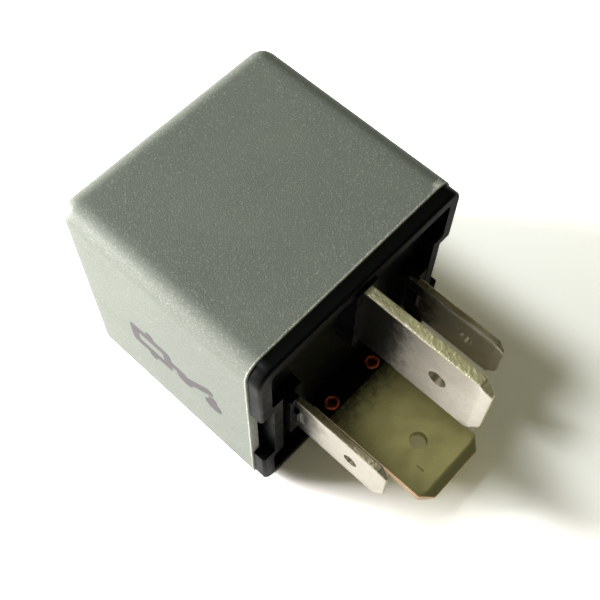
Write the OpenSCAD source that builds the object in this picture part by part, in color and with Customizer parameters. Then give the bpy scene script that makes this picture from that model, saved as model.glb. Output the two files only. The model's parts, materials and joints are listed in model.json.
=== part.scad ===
// Mini relay with four blade terminals, lying on one side of its cover.
// Everything is drawn in the relay's own frame: x runs across the two coil terminals, y from the
// side that it lies on to the opposite side, and z outwards along the terminals from the rim of the
// cover.

/* [Cover] */
// Width of the cover, across the two coil terminals
cover_w = 28; // [26:0.5:34]
// Depth of the cover, from the make terminal's side to the common terminal's side
cover_d = 28; // [26:0.5:34]
// Length of the cover, from its rim to its closed end
cover_h = 25; // [22:0.5:32]
// Wall of the cover
cover_wall = 1.1; // [0.9:0.1:1.4]
// Radius of the cover's four long edges
cover_edge_r = 2.1; // [1.5:0.1:3]
// Radius of the edges round the closed end
cover_end_r = 1.9; // [1.2:0.1:2.2]

/* [Base] */
// Gap between the base and the inside of the cover, each side
base_gap = 0.15; // [0.1:0.05:0.3]
// How far the base reaches into the cover
base_depth = 2.6; // [2.2:0.1:3.2]
// Height of the skirt beyond the cover's rim
skirt_h = 1.5; // [1:0.1:2.5]
// How far the skirt's faces lie inside the cover's faces
skirt_inset = 0.2; // [0.1:0.05:0.5]
// Wall of the skirt
skirt_wall = 1.5; // [1.2:0.1:1.8]
// How far the floor lies below the cover's rim
floor_sink = 0.3; // [0:0.1:0.6]
// Height of the bosses round the blades, from the cover's rim
boss_h = 1.8; // [1.2:0.1:2.4]
// Wall of a boss round its blade
boss_wall = 0.8; // [0.5:0.1:1.2]
// Height of a small blade's boss on the side towards the relay's middle
low_boss_h = 1; // [0.4:0.1:1.6]
// Thickness of the ledge over the make blade's root
ledge_t = 0.5; // [0.3:0.1:0.8]
// How far a side pocket cuts into the skirt
pocket_cut = 1.7; // [1:0.1:2.5]
// Wall left behind a side pocket
pocket_wall = 1.2; // [0.6:0.05:1.4]
// Lower end of the pocket on terminal 86's side
pocket_low = 7.3; // [4:0.1:8]
// Upper end of the pocket on terminal 86's side
pocket_high = 18.2; // [14:0.1:20]
// Lower end of the pocket on terminal 85's side
far_pocket_low = 9.4; // [4:0.1:10]
// Upper end of the pocket on terminal 85's side
far_pocket_high = 19.5; // [14:0.1:20]
// How far a side pocket runs in past the cover's rim
pocket_sink = 1.2; // [0.5:0.1:1.4]

/* [Large blades] */
// Width of the two large blades
power_w = 9.5; // [8:0.1:10]
// Thickness of the two large blades
power_t = 1.2; // [0.8:0.1:1.6]
// How far the large blades stand out of the cover's rim
power_reach = 16.4; // [12:0.1:20]
// Radius of the detent hole in a large blade
power_hole_r = 1; // [0.6:0.05:1.3]
// Distance from a large blade's tip to its detent hole
power_hole_back = 5.3; // [3:0.1:7]
// Gap between the common blade's outer edge and the cover's outer face
common_inset = 1.4; // [1.3:0.1:3]
// Height of the make blade's lower face above the cover's lower face
make_low = 2.9; // [2.8:0.1:3.4]

/* [Small blades] */
// Width of the two small blades
coil_w = 6.3; // [4.8:0.1:6.3]
// Thickness of the two small blades
coil_t = 0.8; // [0.6:0.05:1]
// How far the small blades stand out of the cover's rim
coil_reach = 13.1; // [10:0.1:16]
// Radius of the detent hole in a small blade
coil_hole_r = 0.8; // [0.5:0.05:1]
// Distance from a small blade's tip to its detent hole
coil_hole_back = 4.2; // [3:0.1:6]
// Distance from the relay's middle to each small blade
coil_x = 8.95; // [8.4:0.05:9.6]
// Height of a small blade's middle above the cover's lower face
coil_y = 13.2; // [12:0.1:15]

/* [Magnet] */
// Thickness of the yoke
yoke_t = 1.6; // [1.2:0.1:2]
// Width of the yoke
yoke_w = 13; // [11:0.5:14]
// Gap between the yoke's back and the inside of the cover
yoke_back = 2.7; // [2.6:0.1:4]
// Radius of the core
core_r = 3; // [2:0.1:3.4]
// Radius of the core's pole head
pole_r = 4.4; // [3.6:0.1:5]
// Thickness of the core's pole head
pole_t = 0.8; // [0.5:0.1:1.2]
// Distance from the yoke's back to the core's axis
core_back = 10.2; // [9:0.1:11]
// Gap between the pole head and the cover's closed end
pole_gap = 5.3; // [5:0.1:8]
// Width of the bobbin's square flanges
flange_w = 12; // [11:0.1:12.6]
// Thickness of the bobbin's flanges
flange_t = 0.9; // [0.6:0.1:1.2]
// Wall of the bobbin's tube
bobbin_wall = 0.7; // [0.5:0.1:1]
// Outer radius of the winding
winding_r = 5.7; // [4.6:0.1:5.8]

/* [Contacts] */
// Thickness of the armature
armature_t = 1.4; // [1:0.1:1.8]
// Width of the armature
armature_w = 12; // [9:0.5:14]
// Angle by which the armature stands open at rest
open_angle = 2.6; // [2:0.1:2.8]
// Thickness of the contact strip
strip_t = 0.35; // [0.2:0.05:0.5]
// Width of the contact strip
strip_w = 5; // [3:0.1:6]
// Radius of the contacts
contact_r = 1.5; // [1:0.1:1.7]
// Height of the moving contact
contact_h = 1.1; // [0.8:0.1:1.4]
// Distance from the make blade's upper face to the contacts' axis
contact_out = 1.1; // [0.9:0.1:1.3]

/* [Springs and wires] */
// Radius of the return spring, to the middle of its wire
spring_r = 0.95; // [0.7:0.05:1]
// Radius of the return spring's wire
spring_wire_r = 0.15; // [0.1:0.01:0.2]
// Number of turns in the return spring
spring_turns = 9; // [5:1:12]
// Radius of the copper braid
braid_r = 0.6; // [0.4:0.05:0.6]
// Radius of the winding's wire ends
lead_r = 0.15; // [0.1:0.01:0.2]
// Radius of the resistor
resistor_r = 1.1; // [0.8:0.1:1.2]
// Length of the resistor
resistor_l = 5.4; // [4:0.1:7]
// Radius of the resistor's leads
resistor_wire_r = 0.25; // [0.15:0.05:0.3]

/* [Hidden] */
$fn = 64;

// Colours
grey = [0.45, 0.46, 0.43];
black = [0.09, 0.1, 0.1];
tin = [0.78, 0.75, 0.68];
copper = [0.72, 0.36, 0.2];
steel = [0.62, 0.63, 0.65];
cream = [0.86, 0.82, 0.7];
silver = [0.85, 0.85, 0.84];
amber = [0.75, 0.55, 0.15];
blue = [0.3, 0.45, 0.6];

// Gap of a pressed fit and of two pieces that nearly touch
fit = 0.02;
touch = 0.05;
// Overrun of a cut past a face
over = 1;

// The relay lies with its blades towards -Y and the middle of its length at the origin
rim_y = (power_reach - cover_h) / 2;
mid_y = cover_d / 2;

// Cover
inner_w = cover_w - 2 * cover_wall;
inner_d = cover_d - 2 * cover_wall;
inner_z = cover_wall - cover_h;
end_r = min(cover_end_r, cover_edge_r);

// Base
plug_w = inner_w - 2 * base_gap;
plug_d = inner_d - 2 * base_gap;
plug_r = cover_edge_r - cover_wall - base_gap;
plate_z = -base_depth;
seat_z = 1 - base_depth;
skirt_w = cover_w - 2 * skirt_inset;
skirt_d = cover_d - 2 * skirt_inset;
skirt_r = cover_edge_r - skirt_inset;
pocket_x = skirt_w / 2 - pocket_cut;
hollow_r = 0.5;
skirt_round = 0.35;

// Common blade, terminal 30
common_y = cover_d - common_inset - power_w / 2;
common_stem_w = 2.3;
common_stem_top = 4.9;
// Make blade, terminal 87
make_y = make_low + power_t / 2;
make_high = make_low + power_t;
make_stem_w = 4;
make_boss_h = 0.3;
// Front of the ledge and of the boss that hold the make blade
ledge_z = 2.5;
// Corner and tip of the blades
power_corner = 1.3;
coil_corner = 1;
tip_bevel = 1;
tip_share = 0.45;
// Key of the base in a small blade's root
key_w = 2.4;
key_z = 2.3;
key_low = 0.6;
post_w = 2.4;
post_y = coil_y - coil_w / 2;
post_top = 5;

// Rivets of the make blade
rivet_x = 3.3;
rivet_z = 1.5;
rivet_r = 0.9;
rivet_bore_r = 0.45;
rivet_bore = 1.4;
rivet_head = 0.2;
rivet_low = 0.7;

// Magnet
yoke_y = cover_d - cover_wall - yoke_back;
core_y = yoke_y - core_back;
pole_z = inner_z + pole_gap;
foot_z = plate_z - yoke_t;
spigot_r = core_r * 2 / 3;
foot_low = core_y - flange_w / 2 - 0.4;
bobbin_in = core_r + 0.1;
bobbin_out = bobbin_in + bobbin_wall;
bobbin_near = foot_z - touch;
bobbin_far = pole_z + pole_t + touch;
winding_near = bobbin_near - flange_t - touch;
winding_far = bobbin_far + flange_t + touch;
tape_t = 0.12;
tape_w = 4.5;
lug_w = 0.8;
lug_y = core_y + 1;
lug_l = 5;
lug_h = 1.4;

// Armature and contacts, drawn closed and then swung open about the yoke's outer edge
strip_z = pole_z - armature_t;
contact_y = make_high + contact_out;
armature_end = contact_y + contact_r + 0.7;
contact_face = strip_z + contact_h;
strip_end = contact_y - contact_r - 0.3;
strip_root = yoke_y - 2.4;
arm_t = power_t;
arm_z = contact_face + touch + 1.1;
arm_end = contact_y + contact_r + 0.6;
head_t = 0.3;
head_bevel = 0.2;
rivet_lip = 0.5;
contact_lip = 0.4;
contact_bevel = 0.3;
rivet_far = core_y + 4.5;
rivet_near = core_y - 1.5;
lift = (yoke_y - strip_end) * sin(open_angle);
stop_z = strip_z - strip_t - head_t - lift - touch;
stop_t = 0.6;
stop_y = cover_wall + base_gap + 0.3;
stop_w = 5.2;
stop_seat = 1;

// Return spring, between the armature's tail and a tab on the yoke's back
tail_l = 2.2;
tail_w = 3.2;
hook_y = yoke_y + 1.3;
hook_hole_r = 0.45;
tab_t = 0.8;
tab_z = pole_z + 8.8;
coil_near = tab_z - tab_t - 0.7;
coil_far = pole_z + 1.2;
hook_over = 0.25;
hook_bend = 0.8;

// Resistor and wires
resistor_gap = 0.7;
resistor_y = make_high + resistor_r + resistor_gap;
resistor_z = plate_z - resistor_r - 0.6;
wire_z = plate_z - 3.7;
solder_r = 0.7;
solder_h = 0.6;
bend_r = 1.4;

function unit(v) = v / norm(v);
function tangent(path, i) =
    unit(path[min(i + 1, len(path) - 1)] - path[max(i - 1, 0)]);
function across(v, t) = unit(v - (v * t) * t);
// Normals along a path, each turned as little as possible from the last
function normals(path, start) =
    [for (i = 0, n = across(start, tangent(path, 0)); i < len(path);
        i = i + 1, n = i < len(path) ? across(n, tangent(path, i)) : n) n];
// Points of an arc in the plane of u and v
function arc(centre, u, v, r, from, to, steps) =
    [for (k = [0:steps]) let (a = from + (to - from) * k / steps)
        centre + r * cos(a) * u + r * sin(a) * v];
// One point of a smooth curve through the points p; t counts them
function smooth(p, t) =
    let (n = len(p), i = min(floor(t), n - 2), s = t - i,
        a = p[max(i - 1, 0)], b = p[i], c = p[i + 1], d = p[min(i + 2, n - 1)])
    0.5 * ((2 * b) + (c - a) * s + (2 * a - 5 * b + 4 * c - d) * s * s
        + (3 * b - a - 3 * c + d) * s * s * s);
function smooth_path(p, steps) =
    [for (k = [0:(len(p) - 1) * steps]) smooth(p, k / steps)];

// Round wire along a path
module wire(path, r, sides, start) {
    n = normals(path, start);
    last = len(path) - 1;
    points = [for (i = [0:last]) let (b = cross(tangent(path, i), n[i]))
        for (k = [0:sides - 1]) let (a = 360 * k / sides)
            path[i] + r * (cos(a) * n[i] + sin(a) * b)];
    walls = [for (i = [0:last - 1]) for (k = [0:sides - 1])
        let (m = (k + 1) % sides, p = i * sides, q = p + sides)
            each [[p + k, q + k, q + m], [p + k, q + m, p + m]]];
    near = [[for (k = [0:sides - 1]) k]];
    far = [[for (k = [0:sides - 1]) last * sides + sides - 1 - k]];
    polyhedron(points, concat(walls, near, far));
}

// From the relay's frame to the frame in which it lies
module lay() {
    translate([0, rim_y, 0]) rotate([90, 0, 0]) children();
}

// Pieces that swing with the armature, from closed to open
module swing() {
    translate([0, yoke_y, pole_z]) rotate([open_angle, 0, 0])
        translate([0, -yoke_y, -pole_z]) children();
}

// Box between two corners
module block(low, high) {
    translate(low) cube(high - low);
}

module rounded_rect(w, d, r) {
    square([w - 2 * r, d], center = true);
    square([w, d - 2 * r], center = true);
    for (x = [-1, 1], y = [-1, 1])
        translate([x * (w / 2 - r), y * (d / 2 - r)]) circle(r);
}

// Profile of a rounded end, from z = -h to z = 0
module end_profile(w, h, r) {
    translate([-w / 2, r - h]) square([w, h - r]);
    translate([r - w / 2, -h]) square([w - 2 * r, r + over / 2]);
    for (x = [-1, 1])
        translate([x * (w / 2 - r), r - h]) circle(r);
}

// Block with rounded long edges and a rounded closed end
module rounded_case(w, d, h, edge, end) {
    translate([0, d / 2 - edge, 0]) rotate([90, 0, 0]) linear_extrude(d - 2 * edge)
        end_profile(w, h, end);
    rotate([0, 0, 90]) translate([0, w / 2 - edge, 0]) rotate([90, 0, 0])
        linear_extrude(w - 2 * edge) end_profile(d, h, end);
    for (x = [-1, 1], y = [-1, 1])
        translate([x * (w / 2 - edge), y * (d / 2 - edge), 0]) rotate_extrude()
            intersection() {
                end_profile(2 * edge, h, end);
                translate([0, -h]) square([edge, h]);
            }
}

module cover() {
    edge = cover_edge_r - cover_wall;
    end = max(end_r - cover_wall, 0.3);
    color(grey) lay() translate([0, mid_y, 0]) difference() {
        rounded_case(cover_w, cover_d, cover_h, cover_edge_r, end_r);
        rounded_case(inner_w, inner_d, cover_h - cover_wall, edge, end);
        translate([0, 0, -touch]) linear_extrude(over) rounded_rect(inner_w, inner_d, edge);
    }
}

// Blade seen flat: width along x, thickness along y, tip at z = reach
module blade(w, t, low, reach, corner, hole_r, hole_z) {
    tip = t * tip_share;
    difference() {
        intersection() {
            rotate([90, 0, 0]) linear_extrude(t + over, center = true)
                polygon([[-w / 2, low], [w / 2, low], [w / 2, reach - corner],
                    [w / 2 - corner, reach], [corner - w / 2, reach],
                    [-w / 2, reach - corner]]);
            rotate([90, 0, 90]) linear_extrude(w + over, center = true)
                polygon([[-t / 2, low], [t / 2, low], [t / 2, reach - tip_bevel],
                    [tip / 2, reach], [-tip / 2, reach], [-t / 2, reach - tip_bevel]]);
        }
        translate([0, 0, hole_z]) rotate([90, 0, 0])
            cylinder(h = t + over, r = hole_r, center = true);
    }
}

module power_blade() {
    blade(power_w, power_t, seat_z, power_reach, power_corner, power_hole_r,
        power_reach - power_hole_back);
}

module coil_blade() {
    blade(coil_w, coil_t, seat_z, coil_reach, coil_corner, coil_hole_r,
        coil_reach - coil_hole_back);
}

module terminal_30() {
    x = power_t / 2;
    color(tin) lay() {
        translate([0, common_y, 0]) rotate([0, 0, 90]) power_blade();
        block([-x, yoke_y, plate_z - common_stem_top], [x, yoke_y + common_stem_w, seat_z]);
    }
}

module terminal_87() {
    x = make_stem_w / 2;
    color(tin) lay() difference() {
        union() {
            translate([0, make_y, 0]) power_blade();
            block([-x, make_low, arm_z], [x, make_high, seat_z]);
            block([-x, make_low, arm_z], [x, arm_end, arm_z + arm_t]);
        }
        for (side = [-1, 1])
            translate([side * rivet_x, make_y, rivet_z]) rotate([90, 0, 0])
                cylinder(h = power_t + over, r = rivet_r + fit, center = true);
        translate([0, contact_y, arm_z])
            cylinder(h = 3 * arm_t, r = contact_r / 2 + fit, center = true);
    }
}

module terminal_87_rivets() {
    top = make_high + ledge_t + rivet_head;
    color(copper) lay() for (side = [-1, 1])
        translate([side * rivet_x, top, rivet_z]) rotate([90, 0, 0]) difference() {
            cylinder(h = top - make_low + rivet_low, r = rivet_r);
            translate([0, 0, -over]) cylinder(h = over + rivet_bore, r = rivet_bore_r);
        }
}

// Coil terminal on the side given by its sign
module coil_terminal(side) {
    color(tin) lay() translate([side * coil_x, 0, 0]) difference() {
        union() {
            translate([0, coil_y, 0]) rotate([0, 0, 90]) coil_blade();
            block([-coil_t / 2, post_y, plate_z - post_top], [coil_t / 2, post_y + post_w, seat_z]);
        }
        block([-coil_t, coil_y - key_w / 2, key_low], [coil_t, coil_y + key_w / 2, key_z]);
    }
}

module terminal_85() {
    coil_terminal(1);
}

module terminal_86() {
    coil_terminal(-1);
}

// Lower and upper end of the pocket on the side given by its sign
function pocket_span(side) =
    side < 0 ? [pocket_low, pocket_high] : [far_pocket_low, far_pocket_high];

// Hollow inside the skirt, which steps in behind the side pockets
module skirt_hollow() {
    inner_x = skirt_w / 2 - skirt_wall;
    low = skirt_inset + skirt_wall;
    high = cover_d - skirt_inset - skirt_wall;
    step = pocket_x - pocket_wall;
    linear_extrude(skirt_h + floor_sink + over) {
        translate([0, (low + high) / 2]) rounded_rect(2 * step, high - low, hollow_r);
        for (side = [-1, 1]) {
            below = pocket_span(side)[0] - pocket_wall;
            above = pocket_span(side)[1] + pocket_wall;
            translate([side * inner_x / 2, (low + below) / 2])
                rounded_rect(inner_x, below - low, hollow_r);
            translate([side * inner_x / 2, (high + above) / 2])
                rounded_rect(inner_x, high - above, hollow_r);
        }
    }
}

// Slots for the blades, their stems, their rivets and the back stop
module base_slots() {
    p = power_t / 2 + fit;
    c = coil_t / 2 + fit;
    block([-p, common_y - power_w / 2 - fit, seat_z],
        [p, common_y + power_w / 2 + fit, boss_h + over]);
    block([-p, yoke_y, plate_z - over], [p, yoke_y + common_stem_w + fit, boss_h]);
    block([-power_w / 2 - fit, make_low - fit, seat_z],
        [power_w / 2 + fit, make_high + fit, key_z + over]);
    block([-make_stem_w / 2 - fit, make_low - fit, plate_z - over],
        [make_stem_w / 2 + fit, make_high + fit, 0]);
    for (side = [-1, 1]) {
        translate([side * coil_x, 0, 0]) difference() {
            union() {
                block([-c, coil_y - coil_w / 2 - fit, seat_z],
                    [c, coil_y + coil_w / 2 + fit, key_z + over]);
                block([-c, post_y - fit, plate_z - over], [c, post_y + post_w + fit, 0]);
            }
            block([-c - fit, coil_y - key_w / 2 + fit, key_low + fit],
                [c + fit, coil_y + key_w / 2 - fit, key_z - fit]);
        }
        translate([side * rivet_x, make_low - rivet_low - fit, rivet_z]) rotate([-90, 0, 0])
            cylinder(h = make_high + over, r = rivet_r + fit);
    }
    block([-stop_w / 2 - fit, stop_y - fit, plate_z - over],
        [stop_w / 2 + fit, stop_y + stop_t + fit, plate_z + stop_seat + fit]);
}

// Raised bosses round the blades, the make blade's ledge, keys in the small blades' roots and lugs
// beside the yoke
module base_bosses() {
    p = power_t / 2 + boss_wall;
    c = coil_t / 2 + boss_wall;
    key_t = coil_t + boss_wall / 2;
    block([-p, common_y - power_w / 2 - boss_wall, -floor_sink],
        [p, mid_y + plug_d / 2, boss_h]);
    block([-power_w / 2 - boss_wall, mid_y - plug_d / 2, -floor_sink],
        [power_w / 2 + boss_wall, make_low, ledge_z]);
    block([-power_w / 2 - boss_wall, make_low, -floor_sink],
        [power_w / 2 + boss_wall, make_high + boss_wall, make_boss_h]);
    block([-power_w / 2, make_high, -floor_sink], [power_w / 2, make_high + ledge_t, ledge_z]);
    for (side = [-1, 1]) {
        translate([side * coil_x, 0, 0]) {
            block([-c, coil_y - coil_w / 2 - boss_wall, -floor_sink],
                [c, coil_y + coil_w / 2 + boss_wall, low_boss_h]);
            translate([side * c / 2, 0, 0])
                block([-c / 2, coil_y - coil_w / 2 - boss_wall, -floor_sink],
                    [c / 2, coil_y + coil_w / 2 + boss_wall, boss_h]);
            translate([side * boss_wall / 4, 0, 0])
                block([-key_t / 2, coil_y - key_w / 2 + fit, boss_h - over],
                    [key_t / 2, coil_y + key_w / 2 - fit, key_z - fit]);
        }
        translate([side * (yoke_w / 2 + touch + lug_w / 2) - lug_w / 2, lug_y, plate_z - lug_h])
            cube([lug_w, lug_l, lug_h + 0.2]);
    }
}

module base() {
    color(black) lay() difference() {
        union() {
            difference() {
                union() {
                    translate([0, mid_y, plate_z]) linear_extrude(base_depth)
                        rounded_rect(plug_w, plug_d, plug_r);
                    translate([0, mid_y, 0]) mirror([0, 0, 1])
                        rounded_case(skirt_w, skirt_d, skirt_h, skirt_r, skirt_round);
                }
                translate([0, 0, -floor_sink]) skirt_hollow();
                for (side = [-1, 1]) {
                    span = pocket_span(side);
                    translate([(side - 1) * cover_w / 2 + side * pocket_x, span[0], -pocket_sink])
                        cube([cover_w, span[1] - span[0], skirt_h + pocket_sink + over]);
                }
            }
            base_bosses();
        }
        base_slots();
    }
}

module yoke() {
    x = yoke_w / 2;
    color(steel) lay() difference() {
        union() {
            block([-x, yoke_y - yoke_t, pole_z], [x, yoke_y, plate_z]);
            block([-x, foot_low, foot_z], [x, yoke_y, plate_z]);
            block([-tail_w / 2, yoke_y - fit, tab_z - tab_t], [tail_w / 2, yoke_y + tail_l, tab_z]);
        }
        translate([0, core_y, foot_z - over])
            cylinder(h = yoke_t + 2 * over, r = spigot_r + fit);
        translate([0, hook_y, tab_z - tab_t - over])
            cylinder(h = tab_t + 2 * over, r = hook_hole_r);
    }
}

module core() {
    color(steel) lay() translate([0, core_y, 0]) rotate_extrude()
        polygon([[0, plate_z], [spigot_r, plate_z], [spigot_r, foot_z], [core_r, foot_z],
            [core_r, pole_z + pole_t], [pole_r, pole_z + pole_t], [pole_r, pole_z], [0, pole_z]]);
}

module bobbin() {
    color(cream) lay() translate([0, core_y, 0]) difference() {
        union() {
            translate([0, 0, bobbin_near - flange_t]) linear_extrude(flange_t)
                rounded_rect(flange_w, flange_w, 1);
            translate([0, 0, bobbin_far]) linear_extrude(flange_t)
                rounded_rect(flange_w, flange_w, 1);
            translate([0, 0, bobbin_far]) cylinder(h = bobbin_near - bobbin_far, r = bobbin_out);
        }
        translate([0, 0, bobbin_far - over])
            cylinder(h = bobbin_near - bobbin_far + 2 * over, r = bobbin_in);
    }
}

// Ring about the core between two heights
module sleeve(inner, outer, low, high) {
    lay() translate([0, core_y, low]) difference() {
        cylinder(h = high - low, r = outer);
        translate([0, 0, -over]) cylinder(h = high - low + 2 * over, r = inner);
    }
}

module winding() {
    color(copper) sleeve(bobbin_out + fit, winding_r, winding_far, winding_near);
}

module winding_tape() {
    middle = (winding_far + winding_near) / 2;
    color(amber)
        sleeve(winding_r + fit, winding_r + fit + tape_t, middle - tape_w / 2, middle + tape_w / 2);
}

// Wire end from the winding to the post of one coil terminal, along the shortest way
module coil_lead(side) {
    stop = [coil_x - coil_t / 2 - touch, post_y + post_w / 2];
    axis = [0, core_y];
    start = axis + (winding_r + touch + lead_r) * unit(stop - axis);
    slack = 0.3;
    straight = 2 * solder_h;
    color(copper) lay() wire(smooth_path([[side * start[0], start[1], wire_z - slack],
        [side * (start[0] + stop[0] - straight) / 2, (start[1] + stop[1]) / 2, wire_z + slack],
        [side * (stop[0] - straight), stop[1], wire_z],
        [side * (stop[0] - solder_h), stop[1], wire_z],
        [side * stop[0], stop[1], wire_z]], 5), lead_r, 8, [0, 1, 0]);
}

module coil_lead_85() {
    coil_lead(1);
}

module coil_lead_86() {
    coil_lead(-1);
}

// Fillet of solder round a wire of radius r, standing on z = 0
module solder(r, base_r, h) {
    rotate_extrude()
        polygon([[r + fit, 0], [base_r, 0], [r + 0.1, h], [r + fit, h]]);
}

module solder_joints() {
    y = post_y + post_w / 2;
    color(silver) lay() for (side = [-1, 1]) {
        translate([side * (coil_x - coil_t / 2 - fit), y, wire_z]) rotate([0, -side * 90, 0])
            solder(lead_r, solder_r, solder_h);
        translate([side * coil_x, post_y - fit, resistor_z]) rotate([90, 0, 0])
            solder(resistor_wire_r, coil_t / 2, solder_h);
    }
}

module armature() {
    x = armature_w / 2;
    color(steel) lay() swing() difference() {
        union() {
            block([-x, armature_end, strip_z], [x, yoke_y, pole_z - touch]);
            block([-tail_w / 2, yoke_y - over, strip_z],
                [tail_w / 2, yoke_y + tail_l, pole_z - touch]);
        }
        translate([0, hook_y, strip_z - over]) cylinder(h = armature_t + 2 * over, r = hook_hole_r);
        for (y = [rivet_near, rivet_far])
            translate([0, y, strip_z - over])
                cylinder(h = armature_t + 2 * over, r = rivet_r + fit);
    }
}

module contact_strip() {
    x = strip_w / 2;
    color(copper) lay() swing() difference() {
        block([-x, strip_end, strip_z - strip_t], [x, strip_root, strip_z]);
        translate([0, contact_y, strip_z - over]) cylinder(h = 2 * over, r = contact_r / 2 + fit);
        for (y = [rivet_near, rivet_far])
            translate([0, y, strip_z - over]) cylinder(h = 2 * over, r = rivet_r + fit);
    }
}

module strip_rivets() {
    color(steel) lay() swing() for (y = [rivet_near, rivet_far])
        translate([0, y, 0]) rotate_extrude()
            polygon([[0, pole_z - touch], [rivet_r, pole_z - touch], [rivet_r, strip_z - strip_t],
                [rivet_r + rivet_lip, strip_z - strip_t],
                [rivet_r + rivet_lip - head_bevel, strip_z - strip_t - head_t],
                [0, strip_z - strip_t - head_t]]);
}

module moving_contact() {
    shank = contact_r / 2;
    color(silver) lay() swing() translate([0, contact_y, 0]) rotate_extrude()
        polygon([[0, contact_face], [contact_r - contact_bevel, contact_face],
            [contact_r, contact_face - contact_bevel],
            [contact_r, strip_z], [shank, strip_z], [shank, strip_z - strip_t],
            [shank + contact_lip, strip_z - strip_t],
            [shank + contact_lip - head_bevel, strip_z - strip_t - head_t],
            [0, strip_z - strip_t - head_t]]);
}

module fixed_contact() {
    shank = contact_r / 2;
    face = contact_face + touch;
    color(silver) lay() translate([0, contact_y, 0]) rotate_extrude()
        polygon([[0, face], [contact_r - contact_bevel, face], [contact_r, face + contact_bevel],
            [contact_r, arm_z], [shank, arm_z], [shank, arm_z + arm_t],
            [shank + contact_lip, arm_z + arm_t],
            [shank + contact_lip - head_bevel, arm_z + arm_t + head_t],
            [0, arm_z + arm_t + head_t]]);
}

module back_stop() {
    x = stop_w / 2;
    color(tin) lay() {
        block([-x, stop_y, stop_z - stop_t], [x, stop_y + stop_t, plate_z + stop_seat]);
        block([-x, stop_y, stop_z - stop_t], [x, contact_y + contact_r, stop_z]);
    }
}

module return_spring() {
    turns = [for (k = [0:spring_turns * 14])
        [spring_r * cos(k * 360 / 14), hook_y + spring_r * sin(k * 360 / 14),
            coil_far + (coil_near - coil_far) * k / (spring_turns * 14)]];
    far = strip_z - hook_over;
    near = tab_z + hook_over;
    far_hook = [[hook_bend, hook_y, far], [0.3, hook_y, far], [0.05, hook_y, far + 0.2],
        [0, hook_y, far + 0.5], [0, hook_y, pole_z + 0.4], [0.3, hook_y - 0.1, coil_far - 0.35],
        [0.75, hook_y - 0.2, coil_far - 0.12]];
    near_hook = [[0.75, hook_y + 0.2, coil_near + 0.12], [0.3, hook_y + 0.1, coil_near + 0.35],
        [0, hook_y, tab_z - tab_t], [0, hook_y, near - 0.5], [0.05, hook_y, near - 0.2],
        [0.3, hook_y, near], [hook_bend, hook_y, near]];
    color(steel) lay() wire(concat(far_hook, turns, near_hook), spring_wire_r, 6, [0, 1, 0]);
}

module braid() {
    y = yoke_y + common_stem_w / 2;
    x = -power_t / 2 - touch - braid_r;
    top = strip_z - strip_t - braid_r - 0.25;
    color(copper) lay() wire(smooth_path([[-1.7, strip_root - 2.2, top - 0.1],
        [-1.7, strip_root - 0.6, top - 0.1], [-2, yoke_y - 0.8, top - 0.2],
        [-2.6, yoke_y + 1.2, top + 0.3], [-3.1, yoke_y + 1.95, top + 2],
        [-3.1, yoke_y + 1.95, top + 5], [-2.7, yoke_y + 1.7, tab_z - 1],
        [x - 0.3, y + 0.2, plate_z - common_stem_top + 0.2], [x, y, plate_z - 3],
        [x, y, plate_z - 1]], 4), braid_r, 8, [1, 0, 0]);
}

module resistor_body() {
    color(blue) lay() translate([0, resistor_y, resistor_z]) rotate([0, 90, 0])
        rotate_extrude() polygon([[0, -resistor_l / 2], [resistor_r - 0.2, -resistor_l / 2],
            [resistor_r, 0.3 - resistor_l / 2], [resistor_r, 1.2 - resistor_l / 2],
            [resistor_r - 0.15, 1.5 - resistor_l / 2], [resistor_r - 0.15, resistor_l / 2 - 1.5],
            [resistor_r, resistor_l / 2 - 1.2], [resistor_r, resistor_l / 2 - 0.3],
            [resistor_r - 0.2, resistor_l / 2], [0, resistor_l / 2]]);
}

// Resistor lead to the post of one coil terminal
module resistor_lead(side) {
    centre = [side * (coil_x - bend_r), resistor_y + bend_r, resistor_z];
    bend = arc(centre, [side, 0, 0], [0, 1, 0], bend_r, -90, 0, 6);
    color(silver) lay() wire(concat([[side * resistor_l / 2, resistor_y, resistor_z]], bend,
        [[side * coil_x, post_y - fit, resistor_z]]), resistor_wire_r, 8, [0, 0, 1]);
}

module resistor_lead_85() {
    resistor_lead(1);
}

module resistor_lead_86() {
    resistor_lead(-1);
}

cover();
base();
terminal_30();
terminal_87();
terminal_85();
terminal_86();
terminal_87_rivets();
yoke();
core();
bobbin();
winding();
winding_tape();
coil_lead_85();
coil_lead_86();
solder_joints();
armature();
contact_strip();
strip_rivets();
moving_contact();
fixed_contact();
back_stop();
return_spring();
braid();
resistor_body();
resistor_lead_85();
resistor_lead_86();
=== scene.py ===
"""Looks of a plug-in relay: its detailed pieces, their finishes, the light and the camera.

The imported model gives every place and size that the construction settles. Each sub-assembly is a
class that reads its own nodes' boxes, works out its surfaces as whole arrays and dresses them.
World X runs across the two coil blades, the blades point to -Y and +Z is up.
"""

import json
import logging
import math
from collections.abc import Sequence
from dataclasses import dataclass, field, replace
from enum import Enum

import bpy
import numpy as np
from mathutils import Matrix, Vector
from numpy.typing import NDArray

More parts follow.
